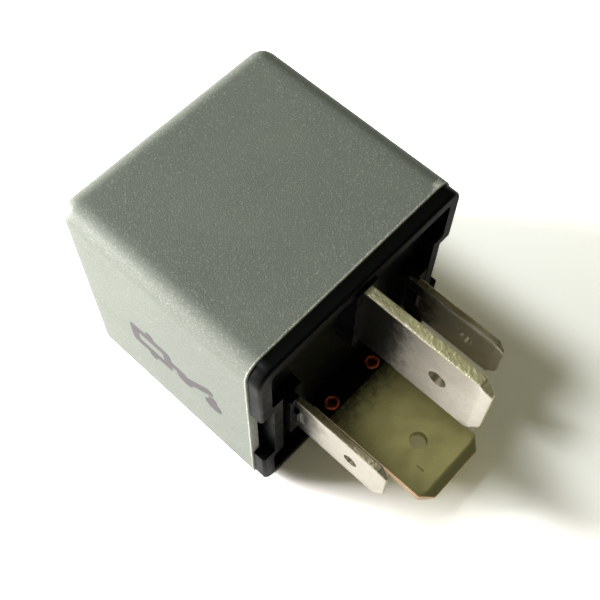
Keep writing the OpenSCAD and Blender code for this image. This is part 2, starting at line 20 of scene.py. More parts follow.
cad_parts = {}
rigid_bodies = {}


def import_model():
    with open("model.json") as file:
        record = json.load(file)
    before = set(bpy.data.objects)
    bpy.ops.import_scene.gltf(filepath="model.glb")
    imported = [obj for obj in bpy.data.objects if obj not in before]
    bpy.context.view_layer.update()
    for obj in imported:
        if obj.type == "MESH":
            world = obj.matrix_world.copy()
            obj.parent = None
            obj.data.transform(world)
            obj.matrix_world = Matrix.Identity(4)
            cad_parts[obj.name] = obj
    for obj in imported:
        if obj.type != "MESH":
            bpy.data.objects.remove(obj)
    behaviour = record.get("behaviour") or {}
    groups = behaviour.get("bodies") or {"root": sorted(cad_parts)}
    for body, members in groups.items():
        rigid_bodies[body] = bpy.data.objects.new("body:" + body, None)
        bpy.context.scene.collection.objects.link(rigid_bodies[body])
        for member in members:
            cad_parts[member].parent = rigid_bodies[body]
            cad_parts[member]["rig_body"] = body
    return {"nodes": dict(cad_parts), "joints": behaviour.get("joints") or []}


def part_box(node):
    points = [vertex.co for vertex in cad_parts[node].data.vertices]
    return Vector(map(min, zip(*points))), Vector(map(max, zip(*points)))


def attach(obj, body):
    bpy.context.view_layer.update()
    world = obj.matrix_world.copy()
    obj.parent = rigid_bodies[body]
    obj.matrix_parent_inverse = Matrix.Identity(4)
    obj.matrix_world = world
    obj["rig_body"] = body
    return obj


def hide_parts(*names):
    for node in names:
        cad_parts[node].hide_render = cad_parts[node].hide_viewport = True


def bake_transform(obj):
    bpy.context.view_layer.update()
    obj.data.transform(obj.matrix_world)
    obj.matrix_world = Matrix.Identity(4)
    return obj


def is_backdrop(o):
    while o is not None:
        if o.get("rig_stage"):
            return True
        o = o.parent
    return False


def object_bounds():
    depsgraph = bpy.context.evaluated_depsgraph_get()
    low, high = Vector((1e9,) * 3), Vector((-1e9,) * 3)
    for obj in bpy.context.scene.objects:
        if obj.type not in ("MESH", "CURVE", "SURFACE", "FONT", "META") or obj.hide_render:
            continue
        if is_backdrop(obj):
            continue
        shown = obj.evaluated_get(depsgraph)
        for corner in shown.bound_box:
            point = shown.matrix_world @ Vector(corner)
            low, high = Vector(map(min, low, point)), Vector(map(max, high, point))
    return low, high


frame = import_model()

Array = NDArray[np.float64]
Colour = tuple[float, float, float]
Point = tuple[float, float, float]
Material = bpy.types.Material
Object = bpy.types.Object
Socket = bpy.types.NodeSocket

LOG = logging.getLogger("relay")
MM = 0.001
FULL_TURN = 2 * math.pi
X_AXIS, Y_AXIS, Z_AXIS = np.eye(3)


class Body(Enum):
    """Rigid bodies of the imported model."""

    BASE = "base_assembly"
    COVER = "cover"
    ARMATURE = "armature"


# ---------------------------------------------------------------------------------------------
# Surfaces
# ---------------------------------------------------------------------------------------------


def unit(vectors: Array) -> Array:
    """Scales vectors along the last axis to length one."""
    return vectors / np.linalg.norm(vectors, axis=-1, keepdims=True)


def quarter(count: int) -> Array:
    """Angles spread over a quarter turn."""
    return np.linspace(0, math.pi / 2, count)


def node_box(name: str) -> tuple[Array, Array]:
    """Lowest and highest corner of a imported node, in metres.

    Args:
        name: the node's name.

    Returns:
        Two arrays of three numbers.
    """
    low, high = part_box(name)
    return np.array(low, float), np.array(high, float)


def smooth_path(knots: Sequence[Sequence[float]], count: int) -> Array:
    """Smooth curve through knots, each stretch a cubic that leaves a knot along its neighbours.

    Args:
        knots: points that the curve passes through.
        count: number of points along the curve.

    Returns:
        Points of the curve, one per row.
    """
    k = np.asarray(knots, float)
    t = np.linspace(0, len(k) - 1, count)
    i = np.minimum(t.astype(int), len(k) - 2)
    s = (t - i)[:, None]
    a, b = k[np.maximum(i - 1, 0)], k[i]
    c, d = k[i + 1], k[np.minimum(i + 2, len(k) - 1)]
    bend = (2 * a - 5 * b + 4 * c - d) * s**2 + (3 * b - a - 3 * c + d) * s**3
    return 0.5 * (2 * b + (c - a) * s + bend)


@dataclass
class Surface:
    """A closed surface on a grid whose columns wrap round.

    The rows either wrap round as well, as on a ring, or both end rows are closed by a fan.

    Attributes:
        points: grid of points, rows by columns by three, in metres.
        ring: whether the rows wrap round.
        values: named values at the grid's points, rows by columns.
        finish: index of the surface's finish among its piece's finishes.
    """

    points: Array
    ring: bool = False
    values: dict[str, Array] = field(default_factory=dict)
    finish: int = 0

    def vertices(self) -> Array:
        """All points in a list, with the centres of the two fans last."""
        flat = self.points.reshape(-1, 3)
        if self.ring:
            return flat
        return np.vstack([flat, self.points[0].mean(0), self.points[-1].mean(0)])

    def value(self, name: str) -> Array:
        """One named value in the order of vertices(), zero where it isn't given."""
        grid = np.broadcast_to(self.values.get(name, 0.0), self.points.shape[:2])
        flat = grid.reshape(-1)
        return flat if self.ring else np.append(flat, [grid[0].mean(), grid[-1].mean()])

    def faces(self) -> tuple[Array, Array]:
        """Quads and triangles as rows of vertex numbers, all facing outwards."""
        rows, cols = self.points.shape[:2]
        r = np.arange(rows if self.ring else rows - 1)[:, None]
        c = np.arange(cols)[None, :]
        here, down = r * cols, ((r + 1) % rows) * cols
        right = (c + 1) % cols
        quads = np.stack([here + c, here + right, down + right, down + c], -1).reshape(-1, 4)
        triangles = np.zeros((0, 3), int)
        if not self.ring:
            first, last, top = np.arange(cols), (np.arange(cols) + 1) % cols, (rows - 1) * cols
            near = np.stack([last, first, np.full(cols, rows * cols)], -1)
            far = np.stack([top + first, top + last, np.full(cols, rows * cols + 1)], -1)
            triangles = np.vstack([near, far])
        if self._volume(quads, triangles) < 0:
            quads, triangles = quads[:, ::-1], triangles[:, ::-1]
        return quads, triangles

    def _volume(self, quads: Array, triangles: Array) -> float:
        """Enclosed volume, the sum of the signed volumes of the faces' pyramids from the middle."""
        v = self.vertices() - self.points.reshape(-1, 3).mean(0)
        corners = np.vstack([quads[:, [0, 1, 2]], quads[:, [0, 2, 3]], triangles])
        a, b, c = v[corners[:, 0]], v[corners[:, 1]], v[corners[:, 2]]
        return float(np.sum(a * np.cross(b, c)) / 6)


def mesh_of(name: str, surfaces: Sequence[Surface], sharp_deg: float) -> Object:
    """Joins surfaces in one mesh object.

    Args:
        name: name of the object.
        surfaces: the closed surfaces.
        sharp_deg: angle past which an edge is shaded sharp.

    Returns:
        The new object, at the origin.
    """
    faces: list[list[int]] = []
    owners: list[int] = []
    start = 0
    for s in surfaces:
        quads, triangles = s.faces()
        faces += (quads + start).tolist() + (triangles + start).tolist()
        owners += [s.finish] * (len(quads) + len(triangles))
        start += len(s.vertices())
    mesh = bpy.data.meshes.new(name)
    mesh.from_pydata(np.vstack([s.vertices() for s in surfaces]).tolist(), [], faces)
    mesh.polygons.foreach_set("material_index", owners)
    for key in sorted({k for s in surfaces for k in s.values}):
        layer = mesh.attributes.new(key, "FLOAT", "POINT")
        layer.data.foreach_set("value", np.concatenate([s.value(key) for s in surfaces]))
    mesh.shade_smooth()
    mesh.set_sharp_from_angle(angle=math.radians(sharp_deg))
    mesh.update()
    obj = bpy.data.objects.new(name, mesh)
    bpy.context.scene.collection.objects.link(obj)
    return obj


def cut(obj: Object, tools: Sequence[Object], operation: str) -> None:
    """Applies exact boolean operations to a mesh and removes the tools.

    Args:
        obj: the object that is changed.
        tools: closed meshes to cut away or to join.
        operation: DIFFERENCE or UNION.
    """
    for tool in tools:
        step = obj.modifiers.new("cut", "BOOLEAN")
        step.operation, step.solver, step.object = operation, "EXACT", tool
        graph = bpy.context.evaluated_depsgraph_get()
        shaped = bpy.data.meshes.new_from_object(obj.evaluated_get(graph))
        obj.modifiers.clear()
        old, obj.data = obj.data, shaped
        bpy.data.meshes.remove(old)
        bpy.data.objects.remove(tool)


@dataclass(frozen=True)
class Section:
    """Rounded rectangle as a pattern of points that fits any size.

    Each point is a corner's centre, as a share of the half sides less the radius, plus the radius
    times a direction. Along a straight side only the share changes.

    Attributes:
        share: share of the half sides at each point.
        way: direction from the corner's centre at each point.
    """

    share: Array
    way: Array

    @classmethod
    def make(cls, arc: int, wide: int, tall: int) -> "Section":
        """Pattern with arc points round each corner and wide or tall ones inside each side."""
        corners = np.array([[1, 1], [-1, 1], [-1, -1], [1, -1]], float)
        share, way = [], []
        for k in range(4):
            angle = math.pi / 2 * (k + np.linspace(0, 1, arc))
            turn = np.stack([np.cos(angle), np.sin(angle)], -1)
            steps = wide if k % 2 == 0 else tall
            t = (np.arange(1, steps + 1) / (steps + 1))[:, None]
            between = corners[k] * (1 - t) + corners[(k + 1) % 4] * t
            share += [np.tile(corners[k], (arc, 1)), between]
            way += [turn, np.tile(turn[-1], (steps, 1))]
        return cls(np.vstack(share), np.vstack(way))

    def outline(self, half_w: Array, half_h: Array, radius: Array) -> Array:
        """Outlines for rows of sizes.

        Args:
            half_w: half widths, one per row.
            half_h: half heights, one per row.
            radius: corner radii, one per row.

        Returns:
            Rows by points by two.
        """
        r = np.minimum(radius, np.minimum(half_w, half_h))[:, None, None]
        half = np.stack([half_w, half_h], -1)[:, None, :]
        return self.share * (half - r) + self.way * r

    def sheared(self) -> Array:
        """How far each point lies on a cut edge: one on the sides that face along the width."""
        return np.clip(np.abs(self.way[:, 0]) * 1.2 - 0.25, 0, 1)


@dataclass(frozen=True)
class Axes:
    """Where a piece's own frame lies: an origin and three unit directions."""

    origin: Array
    across: Array
    thick: Array
    along: Array

    def place(self, across: Array, thick: Array, along: Array) -> Array:
        """World points of the piece's own coordinates."""
        parts = [across[..., None] * self.across, thick[..., None] * self.thick]
        return self.origin + parts[0] + parts[1] + along[..., None] * self.along


def tube(path: Array, radius: float, side: Array, sides: int = 12) -> Surface:
    """Round wire along a path: at each point a circle square to the path.

    Args:
        path: points of the wire's middle.
        radius: radius of the wire.
        side: direction, or one per point, that the path never runs along.
        sides: points round the wire.

    Returns:
        The wire's surface, with slightly rounded ends.
    """
    along = unit(np.gradient(path, axis=0))
    first = unit(np.cross(along, side))
    second = np.cross(along, first)
    angle = np.linspace(0, FULL_TURN, sides, endpoint=False)[None, :, None]
    ring = np.cos(angle) * first[:, None] + np.sin(angle) * second[:, None]
    points = path[:, None] + radius * ring
    near = path[0] + 0.7 * radius * ring[0] - 0.3 * radius * along[0]
    far = path[-1] + 0.7 * radius * ring[-1] + 0.3 * radius * along[-1]
    return Surface(np.concatenate([near[None], points, far[None]]))


def lathe(profile: Sequence[Sequence[float]], axes: Axes, sides: int = 48) -> Surface:
    """Turned surface: a profile of radius and height carried round the along direction.

    Args:
        profile: radius and height of each row, in metres.
        axes: frame of the turned piece.
        sides: points round the axis.

    Returns:
        The surface, closed by a fan at each end.
    """
    p = np.asarray(profile, float)
    angle = np.linspace(0, FULL_TURN, sides, endpoint=False)[None, :]
    r, h = p[:, :1], np.broadcast_to(p[:, 1:], (len(p), sides))
    return Surface(axes.place(r * np.cos(angle), r * np.sin(angle), h))


# ---------------------------------------------------------------------------------------------
# Finishes
# ---------------------------------------------------------------------------------------------


class Shader:
    """A material's node tree while it is wired."""

    def __init__(self, name: str) -> None:
        """Starts an empty principled material."""
        self.material = bpy.data.materials.new(name)
        self.material.use_nodes = True
        self.nodes = self.material.node_tree.nodes
        self.links = self.material.node_tree.links
        self.surface = self.nodes["Principled BSDF"]

    def node(self, kind: str, **settings: object) -> bpy.types.Node:
        """Adds a node.

        Args:
            kind: the node's type, without its ShaderNode prefix.
            **settings: the node's own properties.

        Returns:
            The new node.
        """
        made = self.nodes.new("ShaderNode" + kind)
        for key, value in settings.items():
            setattr(made, key, value)
        return made

    def feed(
        self, node: bpy.types.Node, socket: int | str, value: Socket | Colour | float
    ) -> None:
        """Sets an input of a node to a colour or a number, or links a socket to it.

        Args:
            node: the node.
            socket: number or name of its input.
            value: the colour, the number or the socket.
        """
        if isinstance(value, tuple):
            node.inputs[socket].default_value = (*value, 1)
        elif isinstance(value, float | int):
            node.inputs[socket].default_value = value
        else:
            self.links.new(value, node.inputs[socket])

    def place(self, stretch: Point = (1, 1, 1)) -> Socket:
        """Object coordinates, stretched along the three axes."""
        mapping = self.node("Mapping")
        mapping.inputs["Scale"].default_value = stretch
        self.feed(mapping, "Vector", self.node("TexCoord").outputs["Object"])
        return mapping.outputs["Vector"]

    def noise(
        self, size: float, detail: float = 3, stretch: Point = (1, 1, 1), rough: float = 0.55
    ) -> Socket:
        """Noise whose patches measure about size metres."""
        made = self.node("TexNoise")
        self.feed(made, "Scale", 1 / size)
        self.feed(made, "Detail", detail)
        self.feed(made, "Roughness", rough)
        self.feed(made, "Vector", self.place(stretch))
        return made.outputs["Fac"]

    def cells(self, size: float) -> Socket:
        """Distance to the nearest of scattered points about size metres apart."""
        made = self.node("TexVoronoi")
        self.feed(made, "Scale", 1 / size)
        self.feed(made, "Vector", self.place())
        return made.outputs["Distance"]

    def value(self, name: str) -> Socket:
        """A named value of the piece's own points."""
        return self.node("Attribute", attribute_name=name).outputs["Fac"]

    def ramp(
        self, source: Socket, low: float, high: float, start: float = 0, end: float = 1
    ) -> Socket:
        """Maps low..high smoothly to start..end."""
        made = self.node("MapRange", interpolation_type="SMOOTHSTEP")
        limits = (("From Min", low), ("From Max", high), ("To Min", start), ("To Max", end))
        for name, value in (*limits, ("Value", source)):
            self.feed(made, name, value)
        return made.outputs["Result"]

    def math(self, operation: str, a: Socket, b: Socket | float) -> Socket:
        """One sum of two sockets, or of a socket and a number."""
        made = self.node("Math", operation=operation)
        self.feed(made, 0, a)
        self.feed(made, 1, b)
        return made.outputs[0]

    def mix(self, share: Socket, a: Socket | Colour, b: Socket | Colour) -> Socket:
        """Colour between a and b."""
        made = self.node("Mix", data_type="RGBA")
        for socket, value in ((0, share), (6, a), (7, b)):
            self.feed(made, socket, value)
        return made.outputs[2]

    def bump(self, height: Socket, depth: float, under: Socket | None = None) -> Socket:
        """Normal of a relief of the given depth in metres, on top of another relief."""
        made = self.node("Bump")
        self.feed(made, "Strength", 1)
        self.feed(made, "Distance", depth)
        self.feed(made, "Height", height)
        if under is not None:
            self.feed(made, "Normal", under)
        return made.outputs["Normal"]

    def dress(
        self, colour: Socket, rough: Socket | float, normal: Socket | None = None,
        metal: float = 0, specular: float = 0.5,
    ) -> Material:
        """Sets the surface and returns the finished material.

        Args:
            colour: base colour.
            rough: roughness.
            normal: relief.
            metal: one for bare metal, zero for anything else.
            specular: strength of the surface's gloss.

        Returns:
            The material.
        """
        inputs = {"Base Color": colour, "Roughness": rough, "Metallic": metal,
                  "Specular IOR Level": specular}
        for name, value in inputs.items():
            self.feed(self.surface, name, value)
        if normal is not None:
            self.feed(self.surface, "Normal", normal)
        return self.material


@dataclass(frozen=True)
class GrainedPlastic:
    """Moulded plastic with a fine matt grain, paler along its edges where they are rubbed and where
    highlights are painted, with painted sparkle on the tops of its grain.

    Attributes:
        name: name of the finish.
        colour: colour of the plastic.
        rubbed: colour of its rubbed edges, of the painted highlights along its edges and of the
            painted sparkle on the tops of its grain.
        grain: distance between the grain's bumps.
        depth: height of the grain.
        rough: roughness.
    """

    name: str
    colour: Colour
    rubbed: Colour
    grain: float
    depth: float
    rough: float

    def material(self) -> Material:
        """Grain is small cells broken up by noise; a second, wider noise varies the colour. The
        pale colour marks rubbing and painted highlights.
        """
        s = Shader(self.name)
        cells = s.cells(self.grain)
        speck = s.noise(0.6 * self.grain, 2)
        relief = s.math("ADD", s.math("MULTIPLY", cells, 0.6), s.math("MULTIPLY", speck, 0.8))
        # Painted sparkle: the tops of the grain take a share of the pale colour.
        tops = s.ramp(relief, 0.74, 1, 0, 0.25)
        edge = s.value("edge")
        # Pale edges from the piece's edge value: partly rubbing, partly painted highlight.
        rubbed = s.math("MULTIPLY", edge, s.ramp(s.noise(0.9 * MM, 4), 0.3, 0.6, 0.35, 1))
        wear_and_sheen = s.math("MAXIMUM", rubbed, s.ramp(edge, 0.8, 1))
        # Painted highlight specks: along the edges the highest grain takes the pale colour.
        painted_glint = s.math("MULTIPLY", edge, s.ramp(relief, 0.68, 0.95, 0, 5))
        patch = s.ramp(s.noise(7 * MM, 3), 0.3, 0.75, 0, 0.04)
        pale_share = s.math("MAXIMUM", s.math("MAXIMUM", tops, wear_and_sheen), s.math("MAXIMUM", patch, painted_glint))
        colour = s.mix(pale_share, self.colour, self.rubbed)
        fine = s.bump(relief, self.depth)
        rough = s.ramp(speck, 0.3, 0.7, self.rough - 0.08, self.rough + 0.1)
        return s.dress(colour, rough, fine, specular=0.35)


@dataclass(frozen=True)
class PlainPlastic:
    """Smooth moulded plastic with faint flow marks and dust.

    Attributes:
        name: name of the finish.
        colour: colour of the plastic.
        dust: colour of the dust in its low places.
        dusty: most that the dust covers.
        rough: roughness.
        gloss: strength of its gloss.
    """

    name: str
    colour: Colour
    dust: Colour
    dusty: float
    rough: float
    gloss: float = 0.5

    def material(self) -> Material:
        """A stretched noise gives the flow marks, and a broken one the dust."""
        s = Shader(self.name)
        flow = s.noise(1.4 * MM, 2, (1, 0.35, 1))
        specks = s.ramp(s.noise(0.22 * MM, 5, rough=0.7), 0.56, 0.74, 0, self.dusty)
        patches = s.math("MULTIPLY", specks, s.ramp(s.noise(3 * MM, 3), 0.35, 0.65))
        colour = s.mix(patches, self.colour, self.dust)
        relief = s.bump(flow, 0.006 * MM)
        fine = s.bump(s.noise(0.12 * MM, 2), 0.003 * MM, relief)
        rough = s.ramp(flow, 0.3, 0.7, self.rough - 0.03, self.rough + 0.05)
        return s.dress(colour, rough, fine, specular=self.gloss)


@dataclass(frozen=True)
class Metal:
    """Bare or plated sheet metal with rolling marks, stains, sheared edges and painted shade
    towards the root.

    Attributes:
        name: name of the finish.
        colour: colour of the unstained face.
        stain: colour of its stains.
        sheared: colour of its cut edges, where the piece says it has some.
        rough: roughness of the unstained face.
        marks: depth of the rolling marks.
        along: direction of the rolling marks, as a stretch of the pattern.
        stained: most that the stains cover.
        root_shade: colour of the painted shade towards the root, where the piece's root value says:
            a mottled darkening that stands for the shade and the black base's reflection near the
            base.
    """

    name: str
    colour: Colour
    stain: Colour
    sheared: Colour
    rough: float
    marks: float = 0.004 * MM
    along: Point = (1, 0.08, 1)
    stained: float = 0.5
    root_shade: Colour = (0.035, 0.035, 0.025)

    def material(self) -> Material:
        """Fine stretched noise gives the rolling marks, and wide noise the stains. Painted shade
        darkens the face towards the root.
        """
        s = Shader(self.name)
        rolled = s.noise(0.09 * MM, 3, self.along)
        cloud = s.noise(1.8 * MM, 3)
        spots = s.ramp(s.noise(0.16 * MM, 3), 0.45, 0.75, 0, 1.4 * self.stained)
        stains = s.math("MAXIMUM", s.ramp(cloud, 0.3, 0.8, 0, self.stained), spots)
        face = s.mix(stains, self.colour, self.stain)
        broken = s.ramp(s.noise(0.25 * MM, 3, self.along), 0.3, 0.6, 0.35, 1)
        # Painted shade at the root: the root value, broken by noise, darkens the face but not the
        # cut edges, standing for the shade and the black base's reflection.
        mottle = s.math("ADD", s.ramp(s.noise(1.1 * MM, 3), 0.3, 0.7, 0, 0.22),
                       s.ramp(s.noise(0.25 * MM, 3), 0.3, 0.7, 0, 0.14))
        face_only = s.ramp(s.value("edge"), 0, 0.5, 0.95, 0.25)
        root_shade = s.math("MULTIPLY", s.ramp(s.math("ADD", s.value("root"), mottle), 0.25, 1.1),
                         face_only)
        colour = s.mix(s.math("MULTIPLY", s.value("edge"), broken), face, self.sheared)
        colour = s.mix(root_shade, colour, self.root_shade)
        rough = s.math("ADD", s.ramp(cloud, 0.3, 0.8, self.rough, self.rough + 0.05),
                       s.math("MULTIPLY", s.value("edge"), 0.2))
        ragged = s.math("MULTIPLY", s.noise(0.4 * MM, 2), s.value("edge"))
        relief = s.bump(ragged, 0.1 * MM, s.bump(cloud, 0.5 * self.marks))
        return s.dress(colour, rough, s.bump(rolled, self.marks, relief), metal=1)


@dataclass(frozen=True)
class Enamel:
    """Glossy coat over another colour, as on winding wire and on a small component.

    Attributes:
        name: name of the finish.
        colour: colour of the coat.
        deep: colour in its darker patches.
        rough: roughness.
        metal: share of bare metal that shines through.
    """

    name: str
    colour: Colour
    deep: Colour
    rough: float
    metal: float = 0

    def material(self) -> Material:
        """Two scales of noise vary the coat's colour and its gloss."""
        s = Shader(self.name)
        cloud = s.noise(0.8 * MM, 4)
        colour = s.mix(s.ramp(cloud, 0.35, 0.7), self.colour, self.deep)
        relief = s.bump(s.noise(0.15 * MM, 2), 0.004 * MM)
        rough = s.ramp(cloud, 0.3, 0.7, self.rough, self.rough + 0.12)
        return s.dress(colour, rough, relief, metal=self.metal)


@dataclass(frozen=True)
class Finishes:
    """All the finishes of the relay, made once."""

    cover: Material
    ink: Material
    base: Material
    tin: Material
    dull_tin: Material
    old_tin: Material
    copper: Material
    steel: Material
    bobbin: Material
    wire: Material
    tape: Material
    solder: Material
    bronze: Material
    silver: Material
    spring: Material
    resistor: Material
    band_dark: Material
    band_light: Material

    @classmethod
    def make(cls) -> "Finishes":
        """Builds every material."""
        looks = dict(
            cover=GrainedPlastic("cover_plastic", (0.17, 0.193, 0.166), (0.72, 0.74, 0.67),
                                 0.14 * MM, 0.022 * MM, 0.46),
            ink=PlainPlastic("side_ink", (0.085, 0.075, 0.085), (0.3, 0.3, 0.28), 0.3,
                             0.6),
            base=PlainPlastic("base_plastic", (0.002, 0.003, 0.003), (0.04, 0.045, 0.042), 0.08,
                              0.4, 0.08),
            tin=Metal("tinned_brass", (0.92, 0.87, 0.77), (0.66, 0.60, 0.53),
                      (0.78, 0.76, 0.44), 0.3),
            dull_tin=Metal("dull_brass", (0.8, 0.75, 0.65), (0.58, 0.53, 0.46),
                           (0.36, 0.33, 0.2), 0.3),
            old_tin=Metal("aged_brass", (0.78, 0.76, 0.44), (0.64, 0.62, 0.34),
                          (0.85, 0.55, 0.40), 0.36, marks=0.001 * MM, stained=0.5),
            copper=Metal("copper", (0.85, 0.22, 0.10), (0.5, 0.09, 0.04), (0.8, 0.3, 0.15),
                         0.4),
            steel=Metal("zinced_steel", (0.60, 0.61, 0.62), (0.40, 0.40, 0.38), (0.5, 0.5, 0.5),
                        0.28, stained=0.35),
            bobbin=PlainPlastic("bobbin_plastic", (0.72, 0.66, 0.50), (0.5, 0.46, 0.36), 0.3,
                                0.4),
            wire=Enamel("enamelled_wire", (0.62, 0.22, 0.07), (0.40, 0.10, 0.03), 0.18,
                        0.7),
            tape=Enamel("tape", (0.60, 0.36, 0.06), (0.48, 0.26, 0.04), 0.22),
            solder=Metal("solder", (0.72, 0.72, 0.71), (0.5, 0.5, 0.48), (0.7, 0.7, 0.7),
                         0.2),
            bronze=Metal("spring_bronze", (0.72, 0.46, 0.24), (0.45, 0.24, 0.12),
                         (0.6, 0.36, 0.2), 0.26),
            silver=Metal("contact_silver", (0.86, 0.85, 0.82), (0.5, 0.48, 0.44),
                         (0.8, 0.8, 0.8), 0.25, stained=0.3),
            spring=Metal("spring_wire", (0.50, 0.50, 0.51), (0.3, 0.29, 0.28), (0.5, 0.5, 0.5),
                         0.25),
            resistor=Enamel("resistor_lacquer", (0.10, 0.25, 0.42), (0.07, 0.19, 0.35),
                            0.25),
            band_dark=Enamel("band_dark", (0.10, 0.04, 0.02), (0.08, 0.03, 0.02), 0.3),
            band_light=Enamel("band_light", (0.70, 0.32, 0.05), (0.6, 0.26, 0.04),
                              0.3),
        )
        return cls(**{name: look.material() for name, look in looks.items()})


@dataclass
class Workshop:
    """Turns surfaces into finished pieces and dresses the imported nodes.

    Attributes:
        finishes: the relay's finishes.
    """

    finishes: Finishes

    def piece(
        self, obj: Object, materials: Sequence[Material], body: Body,
        slot: str, nodes: Sequence[str] = (),
    ) -> Object:
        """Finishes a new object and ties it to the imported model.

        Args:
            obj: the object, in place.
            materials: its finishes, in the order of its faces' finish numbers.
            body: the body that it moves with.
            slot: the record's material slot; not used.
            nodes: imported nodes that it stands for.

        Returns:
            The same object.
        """
        obj.data.materials.clear()
        for material in materials:
            obj.data.materials.append(material)
        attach(obj, body.value)
        if nodes:
            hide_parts(*nodes)
        LOG.info("piece %s: %d faces, on %s", obj.name, len(obj.data.polygons), body.value)
        return obj

    def node(self, name: str, material: Material, bevel: float) -> None:
        """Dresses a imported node: its loose triangles are joined and its edges broken.

        Args:
            name: the node.
            material: its finish.
            bevel: width of its broken edges, in metres.
        """
        obj = frame["nodes"][name]
        for slot in obj.material_slots:
            slot.material = material
        weld = obj.modifiers.new("weld", "WELD")
        weld.merge_threshold = 0.001 * MM
        plane = obj.modifiers.new("plane", "DECIMATE")
        plane.decimate_type, plane.angle_limit = "DISSOLVE", math.radians(1)
        edge = obj.modifiers.new("edge", "BEVEL")
        edge.width, edge.segments, edge.limit_method = bevel, 2, "ANGLE"
        edge.angle_limit, edge.harden_normals = math.radians(35), False
        edge.use_clamp_overlap = True
        LOG.info("node %s dressed", name)


# ---------------------------------------------------------------------------------------------
# Places
# ---------------------------------------------------------------------------------------------


@dataclass(frozen=True)
class Layout:
    """Places that the sub-assemblies share, in the relay's own upright frame.

    There x runs across the coil blades, y from the side that it lies on to the opposite side and z
    from the cover's rim outwards along the blades.

    Attributes:
        rim: world Y of the cover's rim.
        hinge_y: height of the armature's hinge.
        hinge_z: distance of the armature's hinge from the rim.
        open_angle: angle by which the armature stands open.
    """

    rim: float
    hinge_y: float
    hinge_z: float
    open_angle: float = math.radians(2.6)

    @classmethod
    def read(cls) -> "Layout":
        """Takes the rim from the cover and the hinge from its joint."""
        rim = float(node_box("cover")[0][1])
        hinge = next(j for j in frame["joints"] if j["name"] == "armature_hinge")
        _, hinge_y, hinge_z = hinge["pos_m"]
        LOG.info("rim at %.4f m, hinge at %.4f %.4f m", rim, hinge_y, hinge_z)
        return cls(rim, float(hinge_z), rim - float(hinge_y))

    def at(self, points: Sequence[Sequence[float]] | Array) -> Array:
        """World points of points in the relay's own frame."""
        p = np.asarray(points, float)
        return np.stack([p[..., 0], self.rim - p[..., 2], p[..., 1]], -1)

    def opened(self, points: Sequence[Sequence[float]] | Array) -> Array:
        """Points of the closed armature, in the relay's own frame, where the open one has them."""
        p = np.asarray(points, float)
        y, z = p[..., 1] - self.hinge_y, p[..., 2] - self.hinge_z
        c, s = math.cos(self.open_angle), math.sin(self.open_angle)
        turned = np.stack([p[..., 0], y * c - z * s, y * s + z * c], -1)
        return turned + np.array([0, self.hinge_y, self.hinge_z])

    def turned_axes(self, centre: Sequence[float], swung: bool) -> Axes:
        """Axes of a turned piece about the relay's z through a point.

        Args:
            centre: the point, in the relay's own frame; heights count from it.
            swung: whether the piece opens with the armature.

        Returns:
            The axes.
        """
        base = np.array(centre) + np.vstack([np.zeros(3), np.eye(3)])
        spots = self.at(self.opened(base) if swung else base)
        return Axes(spots[0], spots[1] - spots[0], spots[2] - spots[0], spots[3] - spots[0])


# ---------------------------------------------------------------------------------------------
# Cover
# ---------------------------------------------------------------------------------------------


